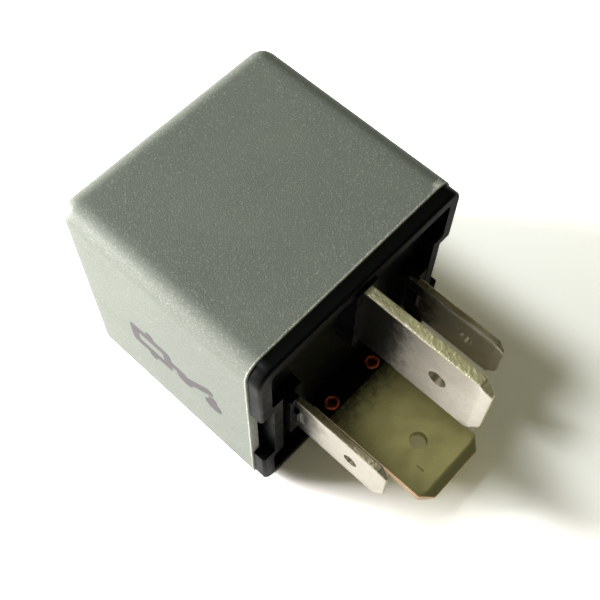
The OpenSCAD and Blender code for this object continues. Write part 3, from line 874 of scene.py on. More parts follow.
@dataclass
class Cover:
    """Moulded cover with a printed symbol on one side.

    Attributes:
        shop: makes the pieces.
        wall: thickness of the wall.
        edge_r: radius of the four long edges.
        end_r: radius round the closed end.
        inner_end_r: radius inside the closed end.
        lip: width of the broken edges at the rim.
        rim_band: width of the band beside the rim that is paler, partly rubbed and partly a painted
            highlight line.
        knocked: reach of the pale knock at one corner of the rim.
        long_edge_share: share of the pale colour on the four long edges, partly rubbing and partly
            painted highlight.
        pale: how pale that band is.
        sink: how far the middle of each face has sunk in cooling.
        least_r: least radius of a corner inside the shell.
        pole_rows: sizes of the rows that close an end, as shares of its outline.
        ink: thickness of the print.
        stroke: half width of a printed stroke.
        dot: radius of a printed dot.
        print_start: world Y at which the symbol starts.
        print_height: world Z of the symbol's middle.
    """

    shop: Workshop
    wall: float = 1.1 * MM
    edge_r: float = 2.1 * MM
    end_r: float = 1.9 * MM
    inner_end_r: float = 0.8 * MM
    lip: float = 0.14 * MM
    rim_band: float = 0.14 * MM
    knocked: float = 0.9 * MM
    long_edge_share: float = 0.05
    pale: float = 0.6
    sink: float = 0.05 * MM
    least_r: float = 0.12 * MM
    pole_rows: tuple[float, ...] = (0.02, 0.15, 0.3, 0.45, 0.6, 0.75, 0.88, 0.97)
    ink: float = 0.012 * MM
    stroke: float = 0.6 * MM
    dot: float = 1.1 * MM
    print_start: float = 12.6 * MM
    print_height: float = 12.4 * MM

    def build(self) -> None:
        """Makes the shell and its print."""
        look = self.shop.finishes
        low, high = node_box("cover")
        shell = mesh_of("cover_shell", [self._shell(low, high)], 50)
        self.shop.piece(shell, [look.cover], Body.COVER, "cover_plastic", ["cover"])
        symbol = mesh_of("cover_symbol", self._symbol(low, high), 60)
        self.shop.piece(symbol, [look.ink], Body.COVER, "cover_plastic")

    def _sunk(self, u: Array, v: Array) -> Array:
        """Depth of the sink at shares u and v of a face: sink (1 - u^2)(1 - v^2)."""
        return self.sink * (1 - u**2) * (1 - v**2)

    def _shell(self, low: Array, high: Array) -> Surface:
        """Outer face, rim and inner face as one grid from the outer pole to the inner pole.

        Each row is a rounded rectangle inset from the outside by d, at the height y. Round the
        outer end d = r (1 - sin t) and y = top - r (1 - cos t).
        """
        top, rim = high[1], low[1]
        half_w, half_h = (high[0] - low[0]) / 2, (high[2] - low[2]) / 2
        turn, lip_turn, inner_turn = quarter(15), quarter(5)[1:], quarter(8)[1:]
        edge_y = rim + self.lip
        sides = np.append(np.linspace(top - self.end_r, edge_y + self.rim_band, 40)[1:], edge_y)
        nip, drop = self.lip * (1 - np.cos(lip_turn)), self.lip * np.sin(lip_turn)
        inner_top = top - self.wall
        inner_sides = np.linspace(edge_y, inner_top - self.inner_end_r, 14)
        inset = np.concatenate([
            self.end_r * (1 - np.sin(turn)), np.zeros(len(sides)), nip, self.wall - nip[::-1],
            np.full(len(inner_sides), self.wall),
            self.wall + self.inner_end_r * (1 - np.cos(inner_turn)),
        ])
        height = np.concatenate([
            top - self.end_r * (1 - np.cos(turn)), sides, edge_y - drop, edge_y - drop[::-1],
            inner_sides, inner_top - self.inner_end_r * (1 - np.sin(inner_turn)),
        ])
        pattern = Section.make(9, 28, 28)
        corner = np.maximum(self.edge_r - inset, self.least_r)
        walls = pattern.outline(half_w - inset, half_h - inset, corner)
        shrink = np.array(self.pole_rows)[:, None, None]
        pole, lips = len(shrink), 2 * len(nip)
        grid = np.concatenate([shrink * walls[:1], walls, shrink[::-1] * walls[-1:]])
        y = np.concatenate([np.full(pole, top), height, np.full(pole, inner_top)])
        flat = np.append(1 - shrink[:, 0, 0] ** 2, np.zeros(len(height) + pole))
        y = y - self.sink * flat
        middle = (top - self.end_r + rim) / 2
        v = np.clip((y - middle) / ((top - self.end_r - rim) / 2), -1, 1)
        outside = np.zeros(len(y))
        first = pole + len(turn)
        outside[first:first + len(sides)] = 1
        u = np.abs(pattern.share).min(-1)
        depth = self._sunk(u[None, :], v[:, None]) * outside[:, None]
        grid = grid - depth[..., None] * pattern.way
        centre = (low + high) / 2
        points = np.stack([
            centre[0] + grid[..., 0], np.broadcast_to(y[:, None], grid.shape[:2]),
            centre[2] + grid[..., 1],
        ], -1)
        # Edge value: a pale band at the rim and pale long edges, partly rubbing and partly painted
        # highlight, and a real knock at one corner.
        rim_band = np.zeros(len(y))
        last = first + len(sides)
        rim_band[last - 1:last + lips] = self.pale
        below_end = np.clip((top - self.end_r - y) / self.end_r, 0, 1) * outside
        long_edges = self.long_edge_share * below_end[:, None] * np.abs(2 * pattern.way.prod(-1))
        knock = np.array([high[0] - 1.7 * MM, rim, high[2]])
        near = 2 - 2 * np.linalg.norm(points - knock, axis=-1) / self.knocked
        edge = np.maximum(np.maximum(rim_band[:, None], long_edges), near)
        return Surface(points, values={"edge": np.clip(edge, 0, 1)})

    def _symbol(self, low: Array, high: Array) -> list[Surface]:
        """Generic relay symbol: a coil as a box with two leads, linked to an open contact.

        A stroke is a flat capsule: its outline is a + radius n round one end and b + radius n
        round the other. It follows the sunk face and stands out of it by the ink's thickness.
        """
        box = [(0.2, -1.4), (5, -1.4), (5, 1.4), (0.2, 1.4), (0.2, -1.4)]
        marks = [*zip(box[:-1], box[1:], strict=True), ((2.6, -2.3), (2.6, -1.4))]
        marks += [((2.6, 1.4), (2.6, 2.3)), ((5, 0), (7.4, 0)), ((7.4, -0.9), (11.2, 1.9))]
        marks += [((11.6, -0.9), (11.6, 0.5))]
        dots = [((s - 0.1, -0.9), (s + 0.1, -0.9)) for s in (7.4, 11.6)]
        sizes = [self.stroke] * len(marks) + [self.dot] * len(dots)
        return [self._stroke(np.array(a) * MM, np.array(b) * MM, size, low, high)
                for (a, b), size in zip(marks + dots, sizes, strict=True)]

    def _stroke(self, a: Array, b: Array, radius: float, low: Array, high: Array) -> Surface:
        """One printed stroke from a to b, given as distance along the symbol and height."""
        way = unit(b - a)
        side = np.array([-way[1], way[0]])
        angle = np.linspace(0, math.pi, 7)[:, None]
        cap = np.sin(angle) * way + np.cos(angle) * side
        along = np.linspace(0, 1, 6)[1:-1, None]
        out = np.vstack([
            b + radius * cap, b + (a - b) * along - radius * side,
            a - radius * cap, a + (b - a) * along + radius * side,
        ])
        y = self.print_start - out[:, 0]
        z = self.print_height + out[:, 1]
        middle = (high[1] - self.end_r + low[1]) / 2
        v = (y - middle) / ((high[1] - self.end_r - low[1]) / 2)
        half_h = (high[2] - low[2]) / 2
        u = (z - (high[2] + low[2]) / 2) / (half_h - self.edge_r)
        face = low[0] + self._sunk(u, v)
        lift = np.array([[-self.ink], [0.4 * self.ink]])
        x = face[None, :] + lift
        return Surface(np.stack([x, np.tile(y, (2, 1)), np.tile(z, (2, 1))], -1))


# ---------------------------------------------------------------------------------------------
# Blades
# ---------------------------------------------------------------------------------------------


@dataclass(frozen=True)
class BladeForm:
    """Sizes of a blade.

    Attributes:
        width: its width.
        thick: its thickness.
        seat: where its root ends inside the base, from the rim.
        reach: where its tip lies, from the rim.
        corner: length of its cut corners.
        hole_r: radius of its detent hole.
        hole_back: distance from its tip to the hole.
        clean: distances from the rim at which its painted root shade begins to fade and has faded.
    """

    width: float
    thick: float
    seat: float
    reach: float
    corner: float
    hole_r: float
    hole_back: float
    clean: tuple[float, float]


@dataclass
class Blades:
    """The four blades, each a stamped blade with its stem and the details at its root.

    Attributes:
        shop: makes the pieces.
        layout: shared places.
        power: sizes of the large blades.
        coil: sizes of the small blades.
        make_shade_fade: where the make blade's painted root shade begins to fade and has faded.
        rolled: radius of the long edges, which stamping rolls over.
        bevel: length of the tapered tip.
        tip_share: share of the thickness left at the tip.
        stem_round: radius of the stem's edges.
        lap: length by which a stem reaches into its blade's root.
        arm_bend: radius of the bend in the make blade's arm.
    """

    shop: Workshop
    layout: Layout
    power: BladeForm = BladeForm(
        9.5 * MM, 1.2 * MM, -1.6 * MM, 16.4 * MM, 1.3 * MM, 1.0 * MM, 5.3 * MM, (4.5 * MM, 8.8 * MM)
    )
    coil: BladeForm = BladeForm(
        6.3 * MM, 0.8 * MM, -1.6 * MM, 13.1 * MM, 1.0 * MM, 0.8 * MM, 4.2 * MM, (1.8 * MM, 6.3 * MM)
    )
    make_shade_fade: tuple[float, float] = (1 * MM, 5.8 * MM)
    rolled: float = 0.13 * MM
    bevel: float = 1.0 * MM
    tip_share: float = 0.45
    stem_round: float = 0.08 * MM
    lap: float = 0.4 * MM
    arm_bend: float = 0.9 * MM

    def build(self) -> None:
        """Makes the four blades and the two rivets."""
        self._common()
        self._make()
        self._coil_blades()
        self._rivets()

    def _blade(self, form: BladeForm, axes: Axes) -> Surface:
        """Blade along the axes, from its root inside the base to its tip.

        Each row is a rounded rectangle. Past the corners' start the half width falls by one for
        each unit of length, and past the bevel's start the half thickness falls to its share.
        """
        steps = np.array([0, 0.12, 0.3, 0.55, 0.8, 1])
        start = form.reach - form.corner
        z = np.unique(np.concatenate([
            np.linspace(form.seat, start - self.rolled, 22), start + steps[1:4] * 0.3 * MM,
            form.reach - self.bevel + steps[1:] * (self.bevel - self.rolled),
            form.reach - self.rolled * np.array([0.62, 0.29, 0.08, 0]),
        ]))
        cut_in = np.maximum(z - start, 0)
        taper = np.clip((z - form.reach + self.bevel) / self.bevel, 0, 1)
        nose = np.clip((z - form.reach + self.rolled) / self.rolled, 0, 1)
        nip = self.rolled * (1 - np.sqrt(np.maximum(1 - nose**2, 0)))
        half_w = form.width / 2 - cut_in - 0.8 * nip
        half_t = form.thick / 2 * (1 - (1 - self.tip_share) * taper) - 0.8 * nip
        half_t = np.maximum(half_t, 0.05 * MM)
        pattern = Section.make(5, 9, 3)
        flat = pattern.outline(half_w, half_t, np.full(len(z), self.rolled))
        along = np.broadcast_to(z[:, None], flat.shape[:2])
        points = axes.place(flat[..., 0], flat[..., 1], along)
        edge = np.maximum(pattern.sheared(), (0.9 * nose)[:, None])
        # Root value for the finish's painted shade: one up to the first distance, none past the
        # second.
        full, none = form.clean
        root = np.broadcast_to(np.clip((none - z) / (none - full), 0, 1)[:, None], edge.shape)
        return Surface(points, values={"edge": edge, "root": root})

    def _strip(
        self, path: Array, across: Array, half_w: float, half_t: float, name: str
    ) -> Object:
        """Flat strip along a path in the plane square to the across direction."""
        along = unit(np.gradient(path, axis=0))
        thick = unit(np.cross(along, across))
        pattern = Section.make(4, 3, 1)
        rows = len(path)
        shape = pattern.outline(
            np.full(rows, half_w), np.full(rows, half_t), np.full(rows, self.stem_round)
        )
        points = path[:, None] + shape[..., :1] * across + shape[..., 1:] * thick[:, None]
        return mesh_of(name, [Surface(points, values={"edge": pattern.sheared()})], 40)

    def _stem(
        self, form: BladeForm, foot: tuple[float, float], width: float, inner: float
    ) -> Object:
        """Straight stem that carries a blade inwards.

        Args:
            form: sizes of the blade.
            foot: x of the stem's middle and y of its lower edge.
            width: its width.
            inner: z of its inner end.

        Returns:
            The stem, to be joined to the blade.
        """
        x, y = foot[0], foot[1] + width / 2
        path = self.layout.at([[x, y, z] for z in (inner, inner / 2, form.seat + self.lap)])
        return self._strip(path, Z_AXIS, width / 2, form.thick / 2, "stem")

    def _box(self, low: Sequence[float], high: Sequence[float], name: str) -> Object:
        """Plain block between two corners in the relay's own frame, as a cutting tool."""
        a, b = np.array(low), np.array(high)
        ring = np.array([[0, 0], [1, 0], [1, 1], [0, 1]])
        rows = [np.column_stack([ring, np.full(4, k)]) * (b - a) + a for k in (0, 1)]
        return mesh_of(name, [Surface(self.layout.at(np.stack(rows)))], 30)

    def _stamp(
        self, name: str, node: str, form: BladeForm, axes: Axes, stem: Object,
        cuts: Sequence[Object], material: Material,
    ) -> None:
        """Makes one blade: joins its stem, cuts it and its hole, and ties it to its node.

        Args:
            name: name of the piece.
            node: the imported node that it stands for.
            form: its sizes.
            axes: its frame, from the rim outwards.
            stem: what carries it inwards.
            cuts: tools that are cut away, besides the hole.
            material: its finish.
        """
        blade = mesh_of(name, [self._blade(form, axes)], 40)
        cut(blade, [stem], "UNION")
        middle = axes.origin + (form.reach - form.hole_back) * axes.along
        spot = Axes(middle, axes.along, axes.across, axes.thick)
        ends = [(form.hole_r, -form.thick), (form.hole_r, form.thick)]
        cut(blade, [*cuts, mesh_of("pin", [lathe(ends, spot, 48)], 40)], "DIFFERENCE")
        blade.data.shade_smooth()
        blade.data.set_sharp_from_angle(angle=math.radians(38))
        weigh = blade.modifiers.new("flat", "WEIGHTED_NORMAL")
        weigh.keep_sharp, weigh.weight = True, 100
        self.shop.piece(blade, [material], Body.BASE, "tinned_brass", [node])

    def _common(self) -> None:
        """Common blade: upright, with its stem beside the yoke and its detent hole."""
        high, rim, form = node_box("terminal_30")[1], self.layout.rim, self.power
        axes = Axes(np.array([0, rim, high[2] - form.width / 2]), Z_AXIS, X_AXIS, -Y_AXIS)
        stem = self._stem(form, (0, self.layout.hinge_y), 2.3 * MM, rim - high[1])
        tin = self.shop.finishes.tin
        self._stamp("common_blade", "terminal_30", form, axes, stem, [], tin)

    def _make(self) -> None:
        """Make blade: flat, with an arm bent up to its contact and a small nick in its face."""
        low, high = node_box("terminal_87")
        form = replace(self.power, clean=self.make_shade_fade)
        middle, bend = low[2] + form.thick / 2, self.arm_bend
        axes = Axes(np.array([0, self.layout.rim, middle]), X_AXIS, Z_AXIS, -Y_AXIS)
        inner = self.layout.rim - high[1] + form.thick / 2
        rows = [[0, middle, z] for z in np.linspace(form.seat + self.lap, inner + bend, 5)[:-1]]
        rows += [[0, middle + bend * (1 - math.cos(t)), inner + bend * (1 - math.sin(t))]
                 for t in quarter(8)]
        rows += [[0, y, inner] for y in np.linspace(middle + bend, high[2], 4)[1:]]
        arm = self._strip(self.layout.at(rows), X_AXIS, 2 * MM, form.thick / 2, "arm")
        top = low[2] + form.thick
        nick = self._box([-2.32 * MM, top - 0.06 * MM, 12.8 * MM],
                         [-2.2 * MM, top + 0.1 * MM, 13.7 * MM], "nick")
        old_tin = self.shop.finishes.old_tin
        self._stamp("make_blade", "terminal_87", form, axes, arm, [nick], old_tin)

    def _coil_blades(self) -> None:
        """Small blades: upright, keyed to the base at the root, each with a post for its wires."""
        form, rim = self.coil, self.layout.rim
        for name, node in (("coil_blade_85", "terminal_85"), ("coil_blade_86", "terminal_86")):
            low, high = node_box(node)
            x, middle = (low[0] + high[0]) / 2, (low[2] + high[2]) / 2
            axes = Axes(np.array([x, rim, middle]), Z_AXIS, X_AXIS, -Y_AXIS)
            post = self._stem(form, (x, low[2]), 2.4 * MM, rim - high[1])
            key = self._box([x - MM, middle - 1.2 * MM, 0.6 * MM],
                            [x + MM, middle + 1.2 * MM, 2.3 * MM], "key")
            self._stamp(name, node, form, axes, post, [key], self.shop.finishes.dull_tin)

    def _rivets(self) -> None:
        """Two tubular rivets through the make blade's root, each with a rolled rim."""
        low, high = node_box("terminal_87_rivets")
        radius, bore, roll = 0.9 * MM, 0.45 * MM, 0.2 * MM
        depth, tall = 1.2 * MM, high[2] - low[2]
        turn = np.linspace(0, math.pi, 9)
        mid = (radius + bore) / 2
        half = (radius - bore) / 2
        rim = np.stack([mid + half * np.cos(turn), tall - roll + roll * np.sin(turn)], -1)
        profile = np.vstack([[(0.4 * radius, 0), (radius - 0.1 * MM, 0), (radius, 0.1 * MM)],
                             rim, [(bore, tall - depth), (0.3 * bore, tall - depth - 0.1 * MM)]])
        y = (low[1] + high[1]) / 2
        frames = [Axes(np.array([x, y, low[2]]), X_AXIS, Y_AXIS, Z_AXIS)
                  for x in (low[0] + radius, high[0] - radius)]
        obj = mesh_of("make_blade_rivets", [lathe(profile, f, 40) for f in frames], 45)
        self.shop.piece(obj, [self.shop.finishes.copper], Body.BASE, "copper",
                        ["terminal_87_rivets"])


# ---------------------------------------------------------------------------------------------
# Coil and magnet
# ---------------------------------------------------------------------------------------------


@dataclass
class Coil:
    """Winding, its tape, its two wire ends, their solder and the resistor across them.

    Attributes:
        shop: makes the pieces.
        layout: shared places.
        wire_r: radius of the winding's wire.
        lead_r: radius of its ends, which are dipped in solder.
        tape_t: thickness of the tape.
        strand_steps: points of the wire in each turn.
        solder_h: height of a solder fillet.
    """

    shop: Workshop
    layout: Layout
    wire_r: float = 0.11 * MM
    lead_r: float = 0.15 * MM
    tape_t: float = 0.12 * MM
    strand_steps: int = 40
    solder_h: float = 0.6 * MM

    def build(self) -> None:
        """Makes the winding and what hangs on it, and dresses the bobbin."""
        self.shop.node("bobbin", self.shop.finishes.bobbin, 0.12 * MM)
        self._winding()
        self._tape()
        self._leads()
        self._solder()
        self._resistor()

    def _winding(self) -> None:
        """Inner layers as a sleeve, and the outer layer as one wire on a helix.

        The wire's middle runs on the radius R at the angle a and the height p a / 2 pi.
        """
        low, high = node_box("winding")
        centre, radius = (low + high) / 2, (high[0] - low[0]) / 2
        inner, run = 3.82 * MM, radius - self.wire_r
        length = high[1] - low[1]
        turns = int((length - 2 * self.wire_r) / (2.02 * self.wire_r))
        a = np.linspace(0, FULL_TURN * turns, turns * self.strand_steps)
        y = low[1] + self.wire_r + (length - 2 * self.wire_r) * a / a[-1]
        path = np.stack([centre[0] + run * np.cos(a), y, centre[2] + run * np.sin(a)], -1)
        wire = tube(path, self.wire_r, Y_AXIS, 6)
        axes = Axes(np.array([centre[0], low[1], centre[2]]), X_AXIS,
                    Z_AXIS, Y_AXIS)
        sleeve = lathe([(inner, 0), (run, 0), (run, length), (inner, length)], axes, 64)
        sleeve.ring = True
        obj = mesh_of("coil_winding", [sleeve, wire], 50)
        self.shop.piece(obj, [self.shop.finishes.wire], Body.BASE, "enamelled_wire", ["winding"])

    def _tape(self) -> None:
        """Tape round the winding, its end lying on its start.

        The radius grows by half the thickness over the last part of the turn.
        """
        low, high = node_box("winding_tape")
        centre, radius = (low + high) / 2, (high[0] - low[0]) / 2
        start, lap = 0.4 * math.pi, 0.5
        a = np.linspace(start, start + FULL_TURN + lap, 120)
        over = np.clip((a - start - FULL_TURN + 0.12) / 0.12, 0, 1)
        middle = radius - 0.75 * self.tape_t + 0.5 * self.tape_t * over
        half_w = (high[1] - low[1]) / 2
        pattern = Section.make(3, 6, 0)
        shape = pattern.outline(np.full(len(a), half_w), np.full(len(a), 0.23 * self.tape_t),
                                np.full(len(a), 0.1 * self.tape_t))
        out = np.stack([np.cos(a), np.zeros(len(a)), np.sin(a)], -1)
        path = centre + middle[:, None] * out
        points = path[:, None] + shape[..., :1] * Y_AXIS + shape[..., 1:] * out[:, None]
        obj = mesh_of("coil_tape", [Surface(points)], 50)
        self.shop.piece(obj, [self.shop.finishes.tape], Body.BASE, "tape", ["winding_tape"])

    def _leads(self) -> None:
        """Wire ends from the winding to the posts of the coil blades."""
        for name, node in (("coil_end_85", "coil_lead_85"), ("coil_end_86", "coil_lead_86")):
            low, high = node_box(node)
            side = 1 if low[0] > 0 else -1
            near, far = (low[0], high[0]) if side > 0 else (high[0], low[0])
            rim = self.layout.rim
            z_mid = rim - (low[1] + high[1]) / 2
            start = [near + side * self.lead_r, high[2] - self.lead_r, z_mid - 0.15 * MM]
            stop = [far, low[2] + self.lead_r, z_mid]
            one = [far - side * 1.2 * MM, low[2] + self.lead_r, z_mid]
            two = [far - side * 0.6 * MM, low[2] + self.lead_r, z_mid]
            mid = [(start[0] + one[0]) / 2, (start[1] + one[1]) / 2, z_mid + 0.15 * MM]
            path = smooth_path(self.layout.at([start, mid, one, two, stop]), 40)
            obj = mesh_of(name, [tube(path, self.lead_r, Y_AXIS, 12)], 50)
            self.shop.piece(obj, [self.shop.finishes.wire], Body.BASE, "copper", [node])

    def _fillet(self, axes: Axes, brim: float, neck: float, bore: float) -> Surface:
        """Solder that rises along a wire: a cone of radius neck + (brim - neck)(1 - h)^2.

        Args:
            axes: frame of the wire's end, along the wire.
            brim: radius at the foot.
            neck: radius at the top.
            bore: radius of its top face's last row.

        Returns:
            The fillet.
        """
        h = np.linspace(0, 1, 9)
        flare = neck + (brim - neck) * (1 - h) ** 2
        rows = np.vstack([np.stack([flare, h * self.solder_h], -1), [(bore, self.solder_h)]])
        return lathe(rows, axes, 28)

    def _solder(self) -> None:
        """Four solder fillets: on each post one for the coil's wire and one for the resistor's."""
        low, high = node_box("terminal_85")
        wire, lead = (sum(node_box(n))[1] / 2 for n in ("coil_lead_85", "resistor_lead_85"))
        joints = []
        for side in (-1, 1):
            spot = np.array([side * low[0], wire, low[2] + 1.2 * MM])
            axes = Axes(spot, Y_AXIS, Z_AXIS, -side * X_AXIS)
            joints.append(self._fillet(axes, 0.7 * MM, 0.25 * MM, 0.12 * MM))
            spot = np.array([side * (low[0] + high[0]) / 2, lead, low[2]])
            axes = Axes(spot, X_AXIS, Y_AXIS, -Z_AXIS)
            joints.append(self._fillet(axes, 0.4 * MM, 0.33 * MM, 0.2 * MM))
        obj = mesh_of("solder_fillets", joints, 50)
        self.shop.piece(obj, [self.shop.finishes.solder], Body.BASE, "solder", ["solder_joints"])

    def _resistor(self) -> None:
        """Resistor: a dumb-bell body with five colour bands, and two bent leads."""
        low, high = node_box("resistor_body")
        centre, radius = (low + high) / 2, (high[2] - low[2]) / 2
        length = high[0] - low[0]
        x = np.linspace(-1, 1, 61)
        bulge = np.clip((np.abs(x) - 0.45) / 0.16, 0, 1)
        waist = radius - 0.15 * MM * (1 - bulge * bulge * (3 - 2 * bulge))
        end = np.clip((np.abs(x) - 0.88) / 0.12, 0, 1)
        r = waist * np.sqrt(np.maximum(1 - 0.94 * end**2, 0))
        axes = Axes(centre, Y_AXIS, Z_AXIS, X_AXIS)
        sides = 36
        body = lathe(np.stack([r, x * length / 2], -1), axes, sides)
        obj = mesh_of("resistor_shell", [body], 60)
        middles = (x[:-1] + x[1:]) / 2
        owner = np.zeros(len(middles), int)
        bands = ((-0.72, 1, 0.08), (-0.35, 2, 0.07), (-0.05, 1, 0.07), (0.25, 1, 0.07),
                 (0.72, 2, 0.07))
        for spot, which, half in bands:
            owner[np.abs(middles - spot) < half] = which
        per_face = np.append(np.repeat(owner, sides), np.zeros(2 * sides, int))
        look = self.shop.finishes
        self.shop.piece(obj, [look.resistor, look.band_dark, look.band_light], Body.BASE,
                        "resistor_lacquer", ["resistor_body"])
        obj.data.polygons.foreach_set("material_index", per_face)
        self._resistor_wires(centre, length)

    def _resistor_wires(self, centre: Array, length: float) -> None:
        """Two wires that leave the resistor's ends and bend up to the posts.

        Args:
            centre: middle of the resistor's body.
            length: length of the body.
        """
        for name, node in (("resistor_wire_85", "resistor_lead_85"),
                           ("resistor_wire_86", "resistor_lead_86")):
            box_low, box_high = node_box(node)
            side = 1 if box_low[0] > 0 else -1
            gauge = (box_high[1] - box_low[1]) / 2
            bend = 1.4 * MM
            x_out = (box_high[0] if side > 0 else box_low[0]) - side * gauge
            turn = quarter(12)
            y, z = centre[1], centre[2]
            path = np.vstack([
                [(side * length / 2 * 0.97, y, z)],
                np.stack([x_out - side * bend * (1 - np.sin(turn)), np.full(12, y),
                          z + bend * (1 - np.cos(turn))], -1),
                [(x_out, y, box_high[2] - 0.6 * MM), (x_out, y, box_high[2])],
            ])
            wire = tube(path, gauge, Y_AXIS, 14)
            solder = self.shop.finishes.solder
            self.shop.piece(mesh_of(name, [wire], 50), [solder], Body.BASE, "tinned_wire", [node])


@dataclass
class Magnet:
    """Yoke, core, armature with its contact strip, the contacts, the spring and the braid.

    Attributes:
        shop: makes the pieces.
        layout: shared places.
        contact_r: radius of the contacts.
        dome: rise of a contact's face.
        spring_r: radius of the spring to the middle of its wire.
        spring_wire_r: radius of its wire.
        spring_turns: number of its turns.
        braid_r: radius of the braid.
        strand_r: radius of a strand of the braid.
        strands: number of strands that run each way round.
        strip_z: z of the closed contact strip's face against the armature.
        strip_t: thickness of the strip.
        head_t: height of a riveted head.
        pole_z: z of the pole's face.
        face_z: z of the closed contacts' faces.
        tab_z: z of the yoke's tab.
    """

    shop: Workshop
    layout: Layout
    contact_r: float = 1.5 * MM
    dome: float = 0.16 * MM
    spring_r: float = 0.95 * MM
    spring_wire_r: float = 0.15 * MM
    spring_turns: int = 9
    braid_r: float = 0.6 * MM
    strand_r: float = 0.12 * MM
    strands: int = 6
    strip_z: float = -20.0 * MM
    strip_t: float = 0.35 * MM
    head_t: float = 0.3 * MM
    pole_z: float = -18.6 * MM
    face_z: float = -18.9 * MM
    tab_z: float = -9.8 * MM

    def build(self) -> None:
        """Makes or dresses the magnet's pieces."""
        look = self.shop.finishes
        self.shop.node("yoke", look.steel, 0.1 * MM)
        self.shop.node("core", look.steel, 0.12 * MM)
        self.shop.node("armature", look.steel, 0.1 * MM)
        self.shop.node("contact_strip", look.bronze, 0.04 * MM)
        self.shop.node("back_stop", look.tin, 0.05 * MM)
        self._contacts()
        self._rivets()
        self._spring()
        self._braid()

    def _contact(
        self, top: float, seat: float, far: float, centre_y: float, swung: bool
    ) -> Surface:
        """Contact rivet: a domed head, a shank and the head riveted over behind.

        Args:
            top: height of the dome's middle.
            seat: height at which the head sits on its carrier.
            far: height at which the riveted head ends.
            centre_y: height of the contact's axis in the relay's own frame.
            swung: whether it opens with the armature.

        Returns:
            The contact.
        """
        away = 1 if far > top else -1
        r = np.linspace(0.05, 0.9, 9) * self.contact_r
        face = np.stack([r, top + away * self.dome * (r / self.contact_r) ** 2], -1)
        turn = quarter(6)[1:]
        side = 0.1 * self.contact_r
        edge = np.stack([0.9 * self.contact_r + side * np.sin(turn),
                         face[-1, 1] + away * side * (1 - np.cos(turn))], -1)
        shank = self.contact_r / 2
        behind = far - away * self.head_t
        rows = np.vstack([face, edge, [
            (self.contact_r, seat), (shank, seat), (shank, behind), (shank + 0.4 * MM, behind),
            (shank + 0.36 * MM, behind + away * 0.15 * MM), (shank, far), (0.05 * MM, far),
        ]])
        return lathe(rows, self.layout.turned_axes([0, centre_y, 0], swung), 44)

    def _contacts(self) -> None:
        """Moving contact on the strip and fixed contact on the make blade's arm."""
        look = self.shop.finishes
        contact_y = 5.2 * MM
        far = self.strip_z - self.strip_t - self.head_t
        moving = self._contact(self.face_z, self.strip_z, far, contact_y, True)
        obj = mesh_of("moving_contact_rivet", [moving], 40)
        self.shop.piece(obj, [look.silver], Body.ARMATURE, "contact_silver", ["moving_contact"])
        low, high = node_box("fixed_contact")
        near, far = self.layout.rim - high[1], self.layout.rim - low[1]
        fixed = self._contact(near, near + 1.1 * MM, far, contact_y, False)
        obj = mesh_of("fixed_contact_rivet", [fixed], 40)
        self.shop.piece(obj, [look.silver], Body.BASE, "contact_silver", ["fixed_contact"])

    def _rivets(self) -> None:
        """Two rivets that hold the strip to the armature, with domed heads."""
        radius, brim = 0.9 * MM, 0.5 * MM
        back, end = self.strip_z - self.strip_t, self.pole_z - 0.05 * MM
        turn = quarter(7)
        dome = np.stack([(radius + brim) * np.cos(turn), back - self.head_t * np.sin(turn)], -1)
        rows = np.vstack([[(0.1 * MM, end), (radius, end), (radius, back)], dome[:-1],
                          [(0.1 * MM, back - self.head_t)]])
        heights = [self._core_height() + s * MM for s in (4.5, -1.5)]
        pieces = [lathe(rows, self.layout.turned_axes([0, y, 0], True), 36) for y in heights]
        obj = mesh_of("strip_rivet_heads", pieces, 40)
        self.shop.piece(obj, [self.shop.finishes.steel], Body.ARMATURE, "steel", ["strip_rivets"])

    def _core_height(self) -> float:
        """Height of the core's axis."""
        low, high = node_box("core")
        return float((low[2] + high[2]) / 2)

    def _spring(self) -> None:
        """Return spring: a close helix between two hooks."""
        hook = self.layout.hinge_y + 1.3 * MM
        near, far = self.tab_z - 1.5 * MM, self.pole_z + 1.2 * MM
        a = np.linspace(0, FULL_TURN * self.spring_turns, self.spring_turns * 26)
        coils = np.stack([self.spring_r * np.cos(a), hook + self.spring_r * np.sin(a),
                          far + (near - far) * a / a[-1]], -1)
        s, p, t, f, n = (z / MM for z in (self.strip_z, self.pole_z, self.tab_z, far, near))
        low_hook = np.array([
            [0.8, 0, s - 0.25], [0.3, 0, s - 0.25], [0.05, 0, s - 0.05], [0, 0, s + 0.25],
            [0, 0, p + 0.4], [0.3, -0.1, f - 0.35], [0.75, -0.2, f - 0.12],
        ])
        high_hook = np.array([
            [0.75, 0.2, n + 0.12], [0.3, 0.1, n + 0.35], [0, 0, t - 0.8], [0, 0, t - 0.25],
            [0.05, 0, t + 0.05], [0.3, 0, t + 0.25], [0.8, 0, t + 0.25],
        ])
        lift = np.array([0, hook, 0])
        first, last = low_hook * MM + lift, high_hook * MM + lift
        joined = np.vstack([smooth_path(first, 40)[:-1], coils, smooth_path(last, 40)[1:]])
        wire = tube(self.layout.at(joined), self.spring_wire_r, np.array([0.3, 0.5, 0.81]), 8)
        obj = mesh_of("return_spring_wire", [wire], 60)
        self.shop.piece(obj, [self.shop.finishes.spring], Body.BASE, "spring_steel",
                        ["return_spring"])
        self._stretch(obj, self.layout.at([[0, hook, near], [0, hook, far]]))

